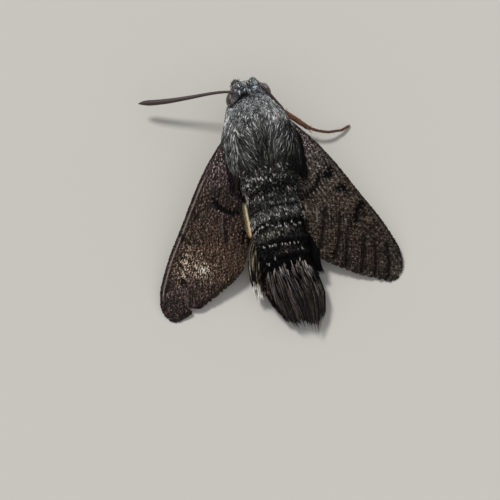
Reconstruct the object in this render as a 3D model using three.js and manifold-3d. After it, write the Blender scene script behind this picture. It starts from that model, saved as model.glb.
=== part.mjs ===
// Hummingbird hawk moth (Macroglossum stellatarum) at rest, life size, wings swept back beside the body.
// Millimetres, +Z up. +Y runs from head to tail and +X to the moth's left; z = 0 is the surface it sits on.
// Until the last lines y = 0 is the neck and x = 0 the middle of the body. The group then moves so that the
// origin is under the middle of the whole moth.
import * as THREE from "three";
import { mergeVertices } from "three/addons/utils/BufferGeometryUtils.js";
import Module from "manifold-3d";

const wasm = await Module();
wasm.setup();

// ---- Driving dimensions ----
const GAP = 0.12; // clear space between neighbouring pieces
const FAR = 60; // larger than the moth
const LEFT = 1;
const RIGHT = -1;
const SIDES = [[LEFT, "left"], [RIGHT, "right"]];

const THINNEST = 0.5; // wings, feet, feelers and tongue are no thinner than this
const WING_HINGE = { x: 3.0, y: 2.2, z: 5.3 }; // where a forewing leaves the thorax
const FOREWING_LENGTH = 22.5;
const FOREWING_TIP_Z = 0.22; // middle of the wing's thickness at its tip
const WING_SWEEP_DEG = { [LEFT]: 29.2, [RIGHT]: 26.3 }; // how far each wing stands out from the body's line
const CAMBER = 0.06; // rise of the wing's middle, as a share of its width
const TORNUS = { u: 14.2, v: 6.25 }; // rear inner corner of the forewing
const HINDWING_BELOW = 0.72; // hindwing under forewing, middle to middle
const HINDWING = { start: 3.4, end: 16.8 };

const BODY_SIDES = 22;
const BODY_SQUARENESS = 2.2; // 2 gives ellipses, more gives fuller corners
const TUBE_SIDES = 7;

// Each row: y, half width, top z, underside z.
const HEAD = [
  [-2.5, 0.75, 5.0, 3.9],
  [-2.2, 1.4, 5.5, 3.4],
  [-1.6, 1.85, 6.0, 3.0],
  [-0.6, 2.1, 6.3, 2.7],
  [0.3, 2.15, 6.3, 2.7],
];
const HEAD_TURN = THREE.MathUtils.degToRad(5); // the head looks a little to the moth's left
const HEAD_SHIFT = 0.25; // and sits a little to that side
// The last column is the sideways middle: the shoulders lean to the moth's left.
const THORAX = [
  [-0.7, 1.5, 6.1, 2.9, 0.3],
  [-0.3, 2.15, 6.45, 2.4, 0.3],
  [0.3, 2.65, 6.95, 1.95, 0.28],
  [1.6, 3.2, 7.75, 1.35, 0.25],
  [3.6, 4.0, 8.3, 1.0, 0.2],
  [6.2, 4.05, 8.1, 1.05, 0.1],
  [7.8, 3.45, 7.1, 1.3, 0],
  [9.2, 2.9, 6.35, 1.5, 0],
];
const ABDOMEN = [
  [9.32, 2.75, 6.25, 1.4],
  [12.0, 2.88, 6.05, 1.15],
  [15.0, 3.0, 5.5, 0.85],
  [17.0, 3.0, 4.85, 0.65],
  [18.4, 2.9, 4.35, 0.55],
];
// The tail is swung a little to the moth's right.
const TAIL_FAN = [
  [18.52, 2.9, 4.3, 0.55, -0.1],
  [20.0, 2.95, 3.6, 0.45, -0.5],
  [21.6, 2.87, 2.9, 0.35, -0.9],
  [22.9, 2.5, 2.35, 0.3, -1.15],
  [24.4, 2.1, 1.7, 0.3, -1.3],
  [25.3, 1.6, 1.3, 0.35, -1.4],
];
const SEGMENT_EDGES = [9.32, 11.3, 13.2, 15.35, 17.0, 18.4]; // rear edges of the abdomen's rings
const SEGMENT_FLARE = 0.035; // each ring widens by this share towards its rear edge

const EYE = { x: 1.62, y: -1.0, z: 4.4, rx: 0.95, ry: 1.1, rz: 1.35 };
const PALP = { x: 0.92, y: -2.6, z: 3.55, rx: 0.6, ry: 0.65, rz: 1.35 };
const PROBOSCIS = { y: -1.65, z: 2.25, inner: 0.32, outer: 0.9 }; // rolled into one turn

// Each feeler from root to tip, and its radius on the way: thickest shortly before the tip.
const ANTENNA_HELD_OUT = [
  [1.75, -1.55, 5.75],
  [2.8, -1.93, 5.4],
  [4.5, -2.17, 4.6],
  [6.6, -2.28, 3.75],
  [8.8, -2.42, 3.0],
  [10.7, -2.65, 2.45],
  [12.15, -2.9, 2.1],
];
const ANTENNA_FOLDED_BACK = [
  [-1.05, -2.0, 5.9],
  [-1.45, -1.35, 6.15],
  [-1.95, -0.5, 5.95],
  [-2.45, 0.3, 5.55],
  [-2.95, 1.0, 4.75],
  [-3.3, 1.75, 3.7],
  [-3.68, 2.9, 2.95],
  [-4.05, 4.4, 2.5],
  [-4.45, 6.2, 2.15],
  [-4.8, 7.9, 1.9],
];
const ANTENNA_RADII = [0.25, 0.25, 0.25, 0.27, 0.31, 0.34, 0.28, 0.25];

const FEMUR_RADII = [0.36, 0.4, 0.31];
const TIBIA_RADII = [0.29, 0.32, 0.29];
const FOOT_RADII = [0.26, 0.25, 0.25];

// ---- Curves ----

// Smooth values between a table's rows that never overshoot them (a monotone cubic). Column 0 is the place.
function between(rows) {
  const slope = (i, c) => (rows[i + 1][c] - rows[i][c]) / (rows[i + 1][0] - rows[i][0]);
  const tangent = (i, c) => {
    if (i === 0) return slope(0, c);
    if (i === rows.length - 1) return slope(i - 1, c);
    const before = slope(i - 1, c);
    const after = slope(i, c);
    return before * after <= 0 ? 0 : (2 * before * after) / (before + after);
  };
  return (place) => {
    const at = THREE.MathUtils.clamp(place, rows[0][0], rows[rows.length - 1][0]);
    let i = 0;
    while (i < rows.length - 2 && at > rows[i + 1][0]) i++;
    const span = rows[i + 1][0] - rows[i][0];
    const t = (at - rows[i][0]) / span;
    return rows[i].slice(1).map((start, k) => {
      const c = k + 1;
      const h10 = t * (1 - t) * (1 - t) * span * tangent(i, c);
      const h11 = t * t * (t - 1) * span * tangent(i + 1, c);
      const eased = t * t * (3 - 2 * t);
      return start + eased * (rows[i + 1][c] - start) + h10 + h11;
    });
  };
}

const range = (n) => Array.from({ length: n }, (_, i) => i);

// ---- Closed meshes ----

// A closed skin over a run of rings, each with the same number of points, with a flat fan over both ends.
function skinOver(rings) {
  const sides = rings[0].length;
  const points = rings.flat();
  const middle = (ring) => ring.reduce((sum, p) => sum.add(p), new THREE.Vector3()).divideScalar(sides);
  const first = points.push(middle(rings[0])) - 1;
  const last = points.push(middle(rings[rings.length - 1])) - 1;
  const faces = [];
  for (const r of range(rings.length - 1)) {
    for (const s of range(sides)) {
      const a = r * sides + s;
      const b = r * sides + ((s + 1) % sides);
      faces.push([a, b, b + sides], [a, b + sides, a + sides]);
    }
  }
  const end = (rings.length - 1) * sides;
  for (const s of range(sides)) {
    const next = (s + 1) % sides;
    faces.push([first, next, s], [last, end + s, end + next]);
  }
  return geometryFrom(points, faces);
}

function geometryFrom(points, faces) {
  const geometry = new THREE.BufferGeometry();
  geometry.setAttribute("position", new THREE.Float32BufferAttribute(points.flatMap((p) => p.toArray()), 3));
  geometry.setIndex(faces.flat());
  return geometry;
}

// A stretch of the body, as rings of rounded outline. grow makes it larger all round, to cut room for it.
function bodyStretch(rows, options = {}) {
  const { from = rows[0][0], to = rows[rows.length - 1][0], step = 0.6, grow = 0, flare = () => 1 } = options;
  const at = between(rows);
  const count = Math.max(2, Math.round((to - from) / step));
  const rings = range(count + 1).map((i) => {
    const y = from + ((to - from) * i) / count;
    const [halfWidth, top, under, middleX = 0] = at(y);
    const scale = flare(y);
    const rx = halfWidth * scale + grow;
    const rz = ((top - under) / 2) * scale + grow;
    return range(BODY_SIDES).map((s) => {
      const angle = (2 * Math.PI * s) / BODY_SIDES;
      const round = (v) => Math.sign(v) * Math.abs(v) ** (2 / BODY_SQUARENESS);
      const end = i === 0 ? -grow : i === count ? grow : 0;
      return new THREE.Vector3(
        middleX - rx * round(Math.cos(angle)),
        y + end,
        (top + under) / 2 + rz * round(Math.sin(angle)),
      );
    });
  });
  return skinOver(rings);
}

// A round tube with domed ends through points [x, y, z], whose radius runs from the first to the last value.
function tube(path, radii, { sides = TUBE_SIDES, steps = 8, grow = 0 } = {}) {
  const curve = new THREE.CatmullRomCurve3(path.map((p) => new THREE.Vector3(...p)), false, "centripetal");
  const radiusAt = between(radii.map((r, i) => [i / (radii.length - 1), r]));
  const places = range(steps + 1).map((i) => i / steps);
  const frames = curve.computeFrenetFrames(steps, false);
  const ring = (i, scale, push) => {
    const radius = radiusAt(places[i])[0] + grow;
    const centre = curve.getPointAt(places[i]).addScaledVector(frames.tangents[i], push * radius);
    return range(sides).map((s) => {
      const angle = (2 * Math.PI * s) / sides;
      return centre
        .clone()
        .addScaledVector(frames.normals[i], scale * radius * Math.cos(angle))
        .addScaledVector(frames.binormals[i], scale * radius * Math.sin(angle));
    });
  };
  return skinOver([ring(0, 0.6, -0.7), ...range(steps + 1).map((i) => ring(i, 1, 0)), ring(steps, 0.6, 0.7)]);
}

function ellipsoid({ x, y, z, rx, ry, rz }, grow = 0) {
  const geometry = new THREE.SphereGeometry(1, 14, 8).rotateX(Math.PI / 2);
  geometry.scale(rx + grow, ry + grow, rz + grow);
  geometry.translate(x, y, z);
  return geometry;
}

// ---- Joining and cutting ----

function solidOf(geometry) {
  const bare = geometry.clone();
  bare.deleteAttribute("normal");
  bare.deleteAttribute("uv");
  const merged = mergeVertices(bare, 1e-4);
  return new wasm.Manifold(
    new wasm.Mesh({
      numProp: 3,
      vertProperties: merged.attributes.position.array,
      triVerts: new Uint32Array(merged.index.array),
    }),
  );
}

function geometryOf(solid) {
  const { vertProperties, triVerts, numProp } = solid.getMesh();
  const points = range(vertProperties.length / numProp).map((i) =>
    new THREE.Vector3().fromArray(vertProperties, i * numProp),
  );
  return geometryFrom(points, [...triVerts]);
}

const underFloor = solidOf(new THREE.BoxGeometry(2 * FAR, 2 * FAR, FAR).translate(0, 0, -FAR / 2));

// What is left of a shape above the floor once room is cut for its neighbours. Crumbs are dropped.
function fitted(geometry, ...neighbours) {
  let solid = solidOf(geometry).subtract(underFloor);
  for (const neighbour of neighbours) solid = solid.subtract(solidOf(neighbour));
  const pieces = solid.decompose().sort((a, b) => b.volume() - a.volume());
  return geometryOf(pieces[0]);
}

// ---- Wings ----

// A forewing's front and rear edge, as v at each u. u runs from hinge to tip and v across, towards the body.
const forewingFront = between([
  [0, -0.3],
  [2, -0.8],
  [5, -1.45],
  [8, -1.78],
  [12, -1.98],
  [16, -2.2],
  [19, -2.08],
  [21.0, -1.55],
  [22.0, -0.85],
  [FOREWING_LENGTH, 0.0],
]);
const forewingOuter = between([
  [TORNUS.u, TORNUS.v],
  [15.4, 5.9],
  [18.0, 4.45],
  [19.6, 3.4],
  [21.2, 2.05],
  [22.1, 1.1],
  [FOREWING_LENGTH, 0.4],
]);
const forewingInner = between([
  [0, 0.4],
  [3, 1.55],
  [6, 2.85],
  [8, 3.9],
  [10, 5.0],
  [12, 5.85],
  [TORNUS.u, TORNUS.v],
]);
const forewing = {
  start: 0,
  end: FOREWING_LENGTH,
  below: 0,
  front: (u) => forewingFront(u)[0],
  rear: (u) => (u < TORNUS.u ? forewingInner(u)[0] : forewingOuter(u)[0]),
  steps: 20,
};

// The hindwing lies flat under the forewing, so its edges are given on the same u and v.
const hindwingFront = between([
  [HINDWING.start, 0.55],
  [9, 0.3],
  [13.5, 0.35],
  [15.8, 1.1],
  [HINDWING.end, 2.4],
]);
const hindwingRear = between([
  [HINDWING.start, 1.75],
  [7.2, 3.95],
  [8.8, 4.85],
  [10.4, 5.8],
  [11.4, 6.0],
  [13.0, 5.6],
  [14.6, 4.9],
  [16.1, 3.7],
  [HINDWING.end, 2.9],
]);
const hindwing = {
  ...HINDWING,
  below: HINDWING_BELOW,
  front: (u) => hindwingFront(u)[0],
  rear: (u) => hindwingRear(u)[0],
  steps: 13,
};

// Turns (u, v, height over the wing's plane) into a place, for the left or right side.
function wingFrame(side) {
  const sweep = THREE.MathUtils.degToRad(WING_SWEEP_DEG[side]);
  const pitch = Math.asin((WING_HINGE.z - FOREWING_TIP_Z) / FOREWING_LENGTH);
  const along = new THREE.Vector3(
    side * Math.sin(sweep) * Math.cos(pitch),
    Math.cos(sweep) * Math.cos(pitch),
    -Math.sin(pitch),
  );
  const across = new THREE.Vector3(-side * Math.cos(sweep), Math.sin(sweep), 0);
  const up = new THREE.Vector3().crossVectors(along, across).multiplyScalar(side);
  const hinge = new THREE.Vector3(side * WING_HINGE.x, WING_HINGE.y, WING_HINGE.z);
  return (u, v, height) =>
    hinge.clone().addScaledVector(along, u).addScaledVector(across, v).addScaledVector(up, height);
}

function camber(u, v) {
  const front = forewing.front(u);
  const width = forewing.rear(u) - front;
  const share = THREE.MathUtils.clamp((v - front) / width, 0, 1);
  return CAMBER * width * 4 * share * (1 - share);
}

// A wing as a plate of even thickness over its outline. Its steps close up towards the round tip.
function wingPlate(wing, side, grow = 0) {
  const place = wingFrame(side);
  const columns = 5;
  const rings = range(wing.steps + 1).map((i) => {
    const t = i / wing.steps;
    const u = THREE.MathUtils.lerp(wing.start, wing.end, t * (1.5 - 0.5 * t));
    const layer = (j, lift) => {
      const v = THREE.MathUtils.lerp(wing.front(u), wing.rear(u), j / columns);
      return place(u, v, camber(u, v) - wing.below + lift);
    };
    const half = THINNEST / 2 + grow;
    const upper = range(columns + 1).map((j) => layer(j, half));
    const lower = range(columns + 1).map((j) => layer(columns - j, -half));
    const ring = [...upper, ...lower];
    return side === LEFT ? ring.reverse() : ring;
  });
  return skinOver(rings);
}

// ---- Legs ----

// Hip, knee, ankle and toe of each leg, then the bends of its foot, all on the side given.
const LEGS = [
  { name: "foreleg_left", side: LEFT, hip: [1.0, 2.6, 1.5], knee: [2.5, 1.0, 2.2], ankle: [1.95, 0.2, 0.8],
    foot: [[1.8, -0.5, 0.32], [1.35, -1.9, 0.22]] },
  { name: "foreleg_right", side: RIGHT, hip: [1.0, 2.6, 1.5], knee: [2.5, 1.0, 2.2], ankle: [1.95, 0.1, 0.8],
    foot: [[1.75, -0.6, 0.32], [1.2, -1.8, 0.22]] },
  { name: "midleg_left", side: LEFT, hip: [1.4, 4.0, 1.3], knee: [3.3, 2.6, 2.4], ankle: [4.7, 5.6, 1.05],
    foot: [[5.1, 6.6, 0.4], [5.7, 7.9, 0.22], [6.3, 9.4, 0.22]] },
  { name: "midleg_right", side: RIGHT, hip: [1.4, 4.0, 1.3], knee: [3.4, 1.18, 2.75], ankle: [5.82, 3.4, 1.75],
    foot: [[7.15, 4.05, 1.4], [8.4, 4.35, 1.05], [9.55, 4.38, 0.6], [10.7, 4.05, 0.22]] },
  { name: "hindleg_left", side: LEFT, hip: [1.3, 6.6, 1.35], knee: [3.0, 7.7, 2.0], ankle: [4.3, 11.5, 1.0],
    foot: [[4.6, 12.7, 0.38], [4.9, 14.0, 0.22], [5.3, 15.6, 0.22]] },
  { name: "hindleg_right", side: RIGHT, hip: [1.3, 6.6, 1.35], knee: [3.0, 7.7, 2.0], ankle: [4.2, 11.5, 1.0],
    foot: [[4.5, 12.7, 0.38], [4.75, 14.0, 0.22], [5.0, 15.6, 0.22]] },
];

// ---- Materials ----
const material = (color, roughness) => new THREE.MeshStandardMaterial({ color, roughness, metalness: 0 });
const greyFur = material(0x6a6a69, 0.9);
const darkScales = material(0x383533, 0.85);
const tailScales = material(0x2b2624, 0.9);
const wingScales = material(0x52463f, 0.75);
const hindwingScales = material(0xa8672f, 0.75);
const eyeGloss = material(0x2a1a14, 0.2);
const legScales = material(0x4c342a, 0.7);
const antennaScales = material(0x34201f, 0.6);

// ---- The moth ----
const moth = new THREE.Group();

function add(name, geometry, look) {
  const mesh = new THREE.Mesh(geometry, look);
  mesh.name = name;
  moth.add(mesh);
}

const onNeck = (geometry) => geometry.rotateZ(HEAD_TURN).translate(HEAD_SHIFT, 0, 0);
const headShape = (grow) => onNeck(bodyStretch(HEAD, { step: 0.42, grow }));
const thoraxShape = (grow) => bodyStretch(THORAX, { grow });
const tailShape = (grow) => bodyStretch(TAIL_FAN, { grow, step: 0.7 });
const eyeShape = (side, grow) => onNeck(ellipsoid({ ...EYE, x: side * EYE.x }, grow));
const palpShape = (side) => onNeck(ellipsoid({ ...PALP, x: side * PALP.x }));

function addHead() {
  const thoraxRoom = thoraxShape(GAP);
  add("head", fitted(headShape(0), eyeShape(LEFT, GAP), eyeShape(RIGHT, GAP), thoraxRoom), greyFur);
  for (const [side, name] of SIDES) {
    add(`eye_${name}`, fitted(eyeShape(side, 0), thoraxRoom), eyeGloss);
    add(`palp_${name}`, fitted(palpShape(side), headShape(GAP), eyeShape(side, GAP)), greyFur);
  }
}

// The tongue, rolled up under the head between the palps.
function addProboscis() {
  const steps = 14;
  const path = range(steps + 1).map((i) => {
    const t = i / steps;
    const angle = 2 * Math.PI * t + Math.PI / 3;
    const radius = THREE.MathUtils.lerp(PROBOSCIS.outer, PROBOSCIS.inner, t);
    return [0, PROBOSCIS.y + radius * Math.cos(angle), PROBOSCIS.z + radius * Math.sin(angle)];
  });
  const coil = onNeck(tube(path, [THINNEST / 2, THINNEST / 2], { sides: 6, steps }));
  add("proboscis", fitted(coil, headShape(GAP), thoraxShape(GAP)), antennaScales);
}

// The left feeler stands out to the side, and the right one is folded back along the thorax.
function addAntennae() {
  const room = [headShape(GAP), thoraxShape(GAP), eyeShape(LEFT, GAP), eyeShape(RIGHT, GAP)];
  for (const [name, route] of [["antenna_left", ANTENNA_HELD_OUT], ["antenna_right", ANTENNA_FOLDED_BACK]]) {
    add(name, fitted(tube(route, ANTENNA_RADII, { steps: 15, sides: 6 }), ...room), antennaScales);
  }
}

function addAbdomen() {
  const count = SEGMENT_EDGES.length - 1;
  range(count).forEach((i) => {
    const from = SEGMENT_EDGES[i];
    const to = SEGMENT_EDGES[i + 1] - (i < count - 1 ? GAP : 0);
    const flare = (y) => 1 + SEGMENT_FLARE * ((y - from) / (to - from) - 0.6);
    add(`abdomen_${i + 1}`, fitted(bodyStretch(ABDOMEN, { from, to, flare })), darkScales);
  });
}

// A lobe of long side hairs that stands out from the rear of the abdomen on each side.
function addFlankTufts() {
  for (const [side, name] of SIDES) {
    const lobe = tube(
      [[side * 2.75, 15.2, 2.5], [side * 3.3, 16.8, 2.2], [side * 3.6, 18.3, 1.85], [side * 3.8, 20.0, 1.5]],
      [0.5, 0.75, 0.7, 0.3],
      { steps: 7, sides: 8 },
    );
    const body = bodyStretch(ABDOMEN, { grow: GAP, flare: () => 1 + 0.4 * SEGMENT_FLARE });
    const wings = [forewing, hindwing].map((wing) => wingPlate(wing, side, GAP));
    add(`flank_tuft_${name}`, fitted(lobe, body, tailShape(GAP), ...wings), tailScales);
  }
}

function addWings() {
  const body = bodyStretch(ABDOMEN, { grow: 2 * GAP });
  for (const [side, name] of SIDES) {
    add(`forewing_${name}`, fitted(wingPlate(forewing, side), thoraxShape(GAP), body), wingScales);
    add(`hindwing_${name}`, fitted(wingPlate(hindwing, side), thoraxShape(GAP), body), hindwingScales);
  }
}

function addLegs() {
  for (const { name, side, hip, knee, ankle, foot } of LEGS) {
    const on = (p) => [side * p[0], p[1], p[2]];
    const femurPath = [on(hip), on(knee)];
    const tibiaPath = [on(knee), on(ankle)];
    const footPath = [ankle, ...foot].map(on);
    const round = [thoraxShape(GAP), bodyStretch(ABDOMEN, { grow: 2 * GAP })];
    const femur = (grow) => tube(femurPath, FEMUR_RADII, { steps: 2, grow });
    const tibia = (grow) => tube(tibiaPath, TIBIA_RADII, { steps: 3, grow });
    const toes = tube(footPath, FOOT_RADII, { steps: 7, sides: 6 });
    add(`${name}_femur`, fitted(femur(0), ...round), legScales);
    add(`${name}_tibia`, fitted(tibia(0), ...round, femur(GAP)), legScales);
    add(`${name}_foot`, fitted(toes, tibia(GAP)), legScales);
  }
}

addHead();
addProboscis();
addAntennae();
add("thorax", fitted(thoraxShape(0)), greyFur);
addAbdomen();
add("tail_fan", fitted(tailShape(0)), tailScales);
addFlankTufts();
addWings();
addLegs();

// The origin goes under the middle of the whole moth, on the floor.
const box = new THREE.Box3().setFromObject(moth, true);
const middle = box.getCenter(new THREE.Vector3());
moth.position.set(-middle.x, -middle.y, -box.min.z);

export default moth;
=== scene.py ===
"""A hummingbird hawk moth at rest, dressed over its CAD frame: one skin of flesh under fur and scales.

Until a mesh is made, lengths are in millimetres in the moth's own frame: y = 0 is the neck with +Y to the
tail, +X is the moth's left and z = 0 is the floor. Colours are written as they look, from 0 to 255.
"""

import math

import bpy
import numpy as np
from mathutils import Matrix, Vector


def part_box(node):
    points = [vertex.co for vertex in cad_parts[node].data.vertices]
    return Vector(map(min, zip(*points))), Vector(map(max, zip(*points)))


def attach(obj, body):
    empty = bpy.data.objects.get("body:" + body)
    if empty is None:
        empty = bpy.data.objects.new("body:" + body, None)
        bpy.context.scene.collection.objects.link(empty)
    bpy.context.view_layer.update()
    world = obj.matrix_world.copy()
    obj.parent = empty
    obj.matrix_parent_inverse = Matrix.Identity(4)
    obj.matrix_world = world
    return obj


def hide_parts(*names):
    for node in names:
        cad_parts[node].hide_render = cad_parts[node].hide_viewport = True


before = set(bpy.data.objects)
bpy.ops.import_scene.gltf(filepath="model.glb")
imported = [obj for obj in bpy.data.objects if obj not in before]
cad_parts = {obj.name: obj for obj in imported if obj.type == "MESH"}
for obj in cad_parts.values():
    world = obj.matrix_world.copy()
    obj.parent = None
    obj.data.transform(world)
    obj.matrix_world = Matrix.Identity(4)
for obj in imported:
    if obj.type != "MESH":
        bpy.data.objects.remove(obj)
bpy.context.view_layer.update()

MM = 0.001
LEFT, RIGHT = 1, -1
SIDES = ((LEFT, "left"), (RIGHT, "right"))

# The thorax solid starts 0.7 mm in front of the neck, midway between its sides.
thorax_low, thorax_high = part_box("thorax")
NECK = np.array([(thorax_low.x + thorax_high.x) / 2 / MM, thorax_low.y / MM + 0.7, 0.0])

BODY_SQUARENESS = 2.2
SKIN_SHADE = 0.45  # the skin's tones against those of the coat over it
# Rows of the skin under the coat: y, half width, top z, under z, middle x.
BODY_SKIN = [
    (-2.35, 0.9, 5.0, 3.9, 0.45),
    (-2.0, 1.35, 5.45, 3.4, 0.42),
    (-1.5, 1.7, 5.8, 3.0, 0.38),
    (-1.05, 1.75, 5.75, 2.8, 0.34),
    (-0.75, 1.85, 5.8, 2.75, 0.32),
    (-0.3, 2.05, 6.15, 2.5, 0.3),
    (0.6, 2.5, 6.75, 2.1, 0.28),
    (1.6, 2.85, 7.3, 1.6, 0.25),
    (3.6, 3.6, 7.85, 1.25, 0.2),
    (6.2, 3.65, 7.6, 1.3, 0.1),
    (7.8, 3.1, 6.7, 1.5, 0),
    (9.2, 2.6, 6.1, 1.6, 0),
    (12, 2.7, 5.85, 1.3, 0),
    (15, 2.8, 5.3, 1.0, 0),
    (17, 2.75, 4.65, 0.8, 0),
    (18.4, 2.6, 4.05, 0.75, -0.1),
    (19.5, 2.2, 3.5, 0.8, -0.3),
    (20.6, 1.4, 2.9, 1.0, -0.6),
    (21.2, 0.6, 2.3, 1.3, -0.75),
]
# Rows of the tail's outline, out to the tips of its long scales.
TAIL_FAN = [
    (16.6, 2.9, 4.95, 0.7, 0),
    (18.52, 2.9, 4.3, 0.55, -0.1),
    (20, 2.95, 3.6, 0.45, -0.5),
    (21.6, 2.87, 2.9, 0.35, -0.9),
    (22.9, 2.5, 2.35, 0.3, -1.15),
    (24.4, 2.1, 1.7, 0.3, -1.3),
    (25.3, 1.6, 1.3, 0.35, -1.4),
]
SEGMENT_EDGES = (9.32, 11.3, 13.2, 15.35, 17.0, 18.4)  # where thorax, five rings and tail meet
RING_FLARE = 0.12  # each ring's rear edge stands out this far over the next

EYE = {"x": 1.62, "y": -1.0, "z": 4.4, "rx": 0.95, "ry": 1.1, "rz": 1.35}
PALP = {"x": 0.92, "y": -2.6, "z": 3.55, "rx": 0.46, "ry": 0.48, "rz": 1.2}
HEAD_TURN = math.radians(5)
HEAD_SHIFT = 0.25
PROBOSCIS = {"y": -1.65, "z": 2.25, "inner": 0.32, "outer": 0.9, "radius": 0.13}

WING_HINGE = np.array([3.0, 2.2, 5.3])
FOREWING_LENGTH = 22.5
FOREWING_TIP_Z = 0.22
WING_SWEEP_DEG = {LEFT: 29.2, RIGHT: 26.3}
CAMBER = 0.06
TORNUS_U = 14.2
HINDWING_BELOW = 0.72
MEMBRANE = 0.09  # thickness of a wing's membrane
MEMBRANE_LIFT = -0.1  # it lies in the lower half of the CAD's plate
FRINGE = 0.5  # the fringe makes up this much of a wing's width at its outer edge

rng = np.random.default_rng(11)


# ---- Curves and colours ----


def curve_through(places, values):
    """Smooth values between given ones that never overshoot them (a monotone cubic)."""
    places, values = np.asarray(places, float), np.asarray(values, float)
    steps = np.diff(places)
    slopes = np.diff(values) / steps
    before, after = slopes[:-1], slopes[1:]
    same_way = before * after > 0
    bend = np.where(same_way, 2 * before * after / np.where(same_way, before + after, 1), 0)
    tangents = np.concatenate([slopes[:1], bend, slopes[-1:]])

    def at(place):
        place = np.clip(place, places[0], places[-1])
        i = np.clip(np.searchsorted(places, place) - 1, 0, len(places) - 2)
        t = (place - places[i]) / steps[i]
        eased = t * t * (3 - 2 * t)
        start_pull = t * (1 - t) ** 2 * steps[i] * tangents[i]
        end_pull = t * t * (t - 1) * steps[i] * tangents[i + 1]
        return values[i] + eased * (values[i + 1] - values[i]) + start_pull + end_pull

    return at


def columns_through(rows):
    """The curve of each column but the first, over the first."""
    table = np.array(rows, float)
    return [curve_through(table[:, 0], column) for column in table.T[1:]]


def evenly_through(values):
    """A curve through values at even steps from 0 to 1."""
    return curve_through(np.linspace(0, 1, len(values)), values)


def path_through(places):
    """The smooth path through places, as a function from shares 0 to 1 to places."""
    columns = [evenly_through(column) for column in np.array(places, float).T]
    return lambda share: np.stack([column(share) for column in columns], -1)


def unit(vectors):
    return vectors / np.maximum(np.linalg.norm(vectors, axis=-1, keepdims=True), 1e-9)


def across_normal(ways, normals):
    """Ways laid flat on the surface that has these normals."""
    return unit(ways - normals * np.sum(ways * normals, axis=-1, keepdims=True))


def colour(*rgb):
    """Linear light from a colour as it looks, 0 to 255."""
    share = np.array(rgb, float) / 255
    return np.where(share > 0.04045, ((share + 0.055) / 1.055) ** 2.4, share / 12.92)


def plain(count, *rgb):
    """The same colour count times."""
    return np.tile(colour(*rgb), (count, 1))


def blended(place, rows):
    """Colours at places between rows of a place and a colour."""
    places = [row[0] for row in rows]
    shades = np.array([colour(*row[1]) for row in rows])
    return np.stack([np.interp(place, places, shade) for shade in shades.T], -1)


def mix(a, b, share):
    return a + (b - a) * np.clip(share, 0, 1)[..., None]


def overlaid(base, layers):
    """Colours with layers laid over them, each a colour from 0 to 255 and the share it takes."""
    for rgb, share in layers:
        base = mix(base, colour(*rgb), share)
    return base


def ease(value, low, high):
    """0 below low, 1 above high, and smooth between."""
    t = np.clip((value - low) / (high - low), 0, 1)
    return t * t * (3 - 2 * t)


def swell(points, size, seed):
    """A smooth random field of about -1 to 1 whose swells are about size across."""
    source = np.random.default_rng(seed)
    total = np.zeros(len(points))
    for _ in range(8):
        way = unit(source.normal(size=points.shape[1]))
        waves = source.uniform(0.6, 1.6) * 2 * np.pi / size
        total += np.sin(points @ way * waves + source.uniform(0, 2 * np.pi))
    return total / 2.4


def near_line(u, v, line, width):
    """1 on a line of points, fading to 0 about a width away."""
    best = np.full(np.shape(u), 1e9)
    for (u0, v0), (u1, v1) in zip(line[:-1], line[1:]):
        t = ((u - u0) * (u1 - u0) + (v - v0) * (v1 - v0)) / ((u1 - u0) ** 2 + (v1 - v0) ** 2)
        t = np.clip(t, 0, 1)
        best = np.minimum(best, np.hypot(u - u0 - t * (u1 - u0), v - v0 - t * (v1 - v0)))
    return np.exp(-((best / width) ** 2))


def spot(x, y, middle, reach):
    return np.exp(-(((x - middle[0]) / reach[0]) ** 2) - ((y - middle[1]) / reach[1]) ** 2)


def even_shares(count):
    """Two shares from 0 to 1 for each item, spread evenly over the unit square."""
    i = np.arange(count)
    return (i * 0.7548776662 + 0.1) % 1, (i * 0.5698402910 + 0.3) % 1


# ---- Making meshes ----


def make_piece(name, points, faces, look, replaces=(), tones=None, bake=None, smooth=True):
    """A mesh piece from points in the moth's own frame, each with a colour in tones and a place in bake."""
    mesh = bpy.data.meshes.new(name)
    faces = np.asarray(faces, np.int32)
    corners = faces.shape[1]
    mesh.vertices.add(len(points))
    mesh.loops.add(faces.size)
    mesh.polygons.add(len(faces))
    mesh.vertices.foreach_set("co", ((np.asarray(points) + NECK) * MM).astype(np.float32).ravel())
    mesh.loops.foreach_set("vertex_index", faces.ravel())
    mesh.polygons.foreach_set("loop_start", np.arange(len(faces), dtype=np.int32) * corners)
    mesh.polygons.foreach_set("use_smooth", np.full(len(faces), smooth))
    if tones is not None:
        markings = mesh.attributes.new("Markings", "FLOAT_COLOR", "POINT")
        rgba = np.ones((len(points), 4), np.float32)
        rgba[:, :3] = tones
        markings.data.foreach_set("color", rgba.ravel())
    if bake is not None:
        places = np.asarray(bake, np.float32)[faces]
        wraps = (places[..., 0].max(1) - places[..., 0].min(1) > 0.5)[:, None]
        places[..., 0] += np.where(wraps & (places[..., 0] < 0.5), 1, 0)
        layer = mesh.uv_layers.new(name="OFBake")
        layer.data.foreach_set("uv", places.ravel())
    mesh.update()
    mesh.validate()
    piece = bpy.data.objects.new(name, mesh)
    bpy.context.scene.collection.objects.link(piece)
    piece.data.materials.append(look)
    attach(piece, "root")
    if replaces:
        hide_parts(*replaces)


def tube_faces(rows, columns):
    """Triangles of a closed tube of rings, with two end points after the rings."""
    i, j = np.meshgrid(np.arange(rows - 1), np.arange(columns), indexing="ij")
    a = (i * columns + j).ravel()
    b = (i * columns + (j + 1) % columns).ravel()
    c, d = b + columns, a + columns
    ring = np.arange(columns)
    after = (ring + 1) % columns
    start, end = rows * columns, rows * columns + 1
    last = (rows - 1) * columns
    first_cap = np.stack([np.full(columns, start), after, ring], -1)
    last_cap = np.stack([np.full(columns, end), last + ring, last + after], -1)
    return np.concatenate([np.stack([a, b, c], -1), np.stack([a, c, d], -1), first_cap, last_cap])


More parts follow.
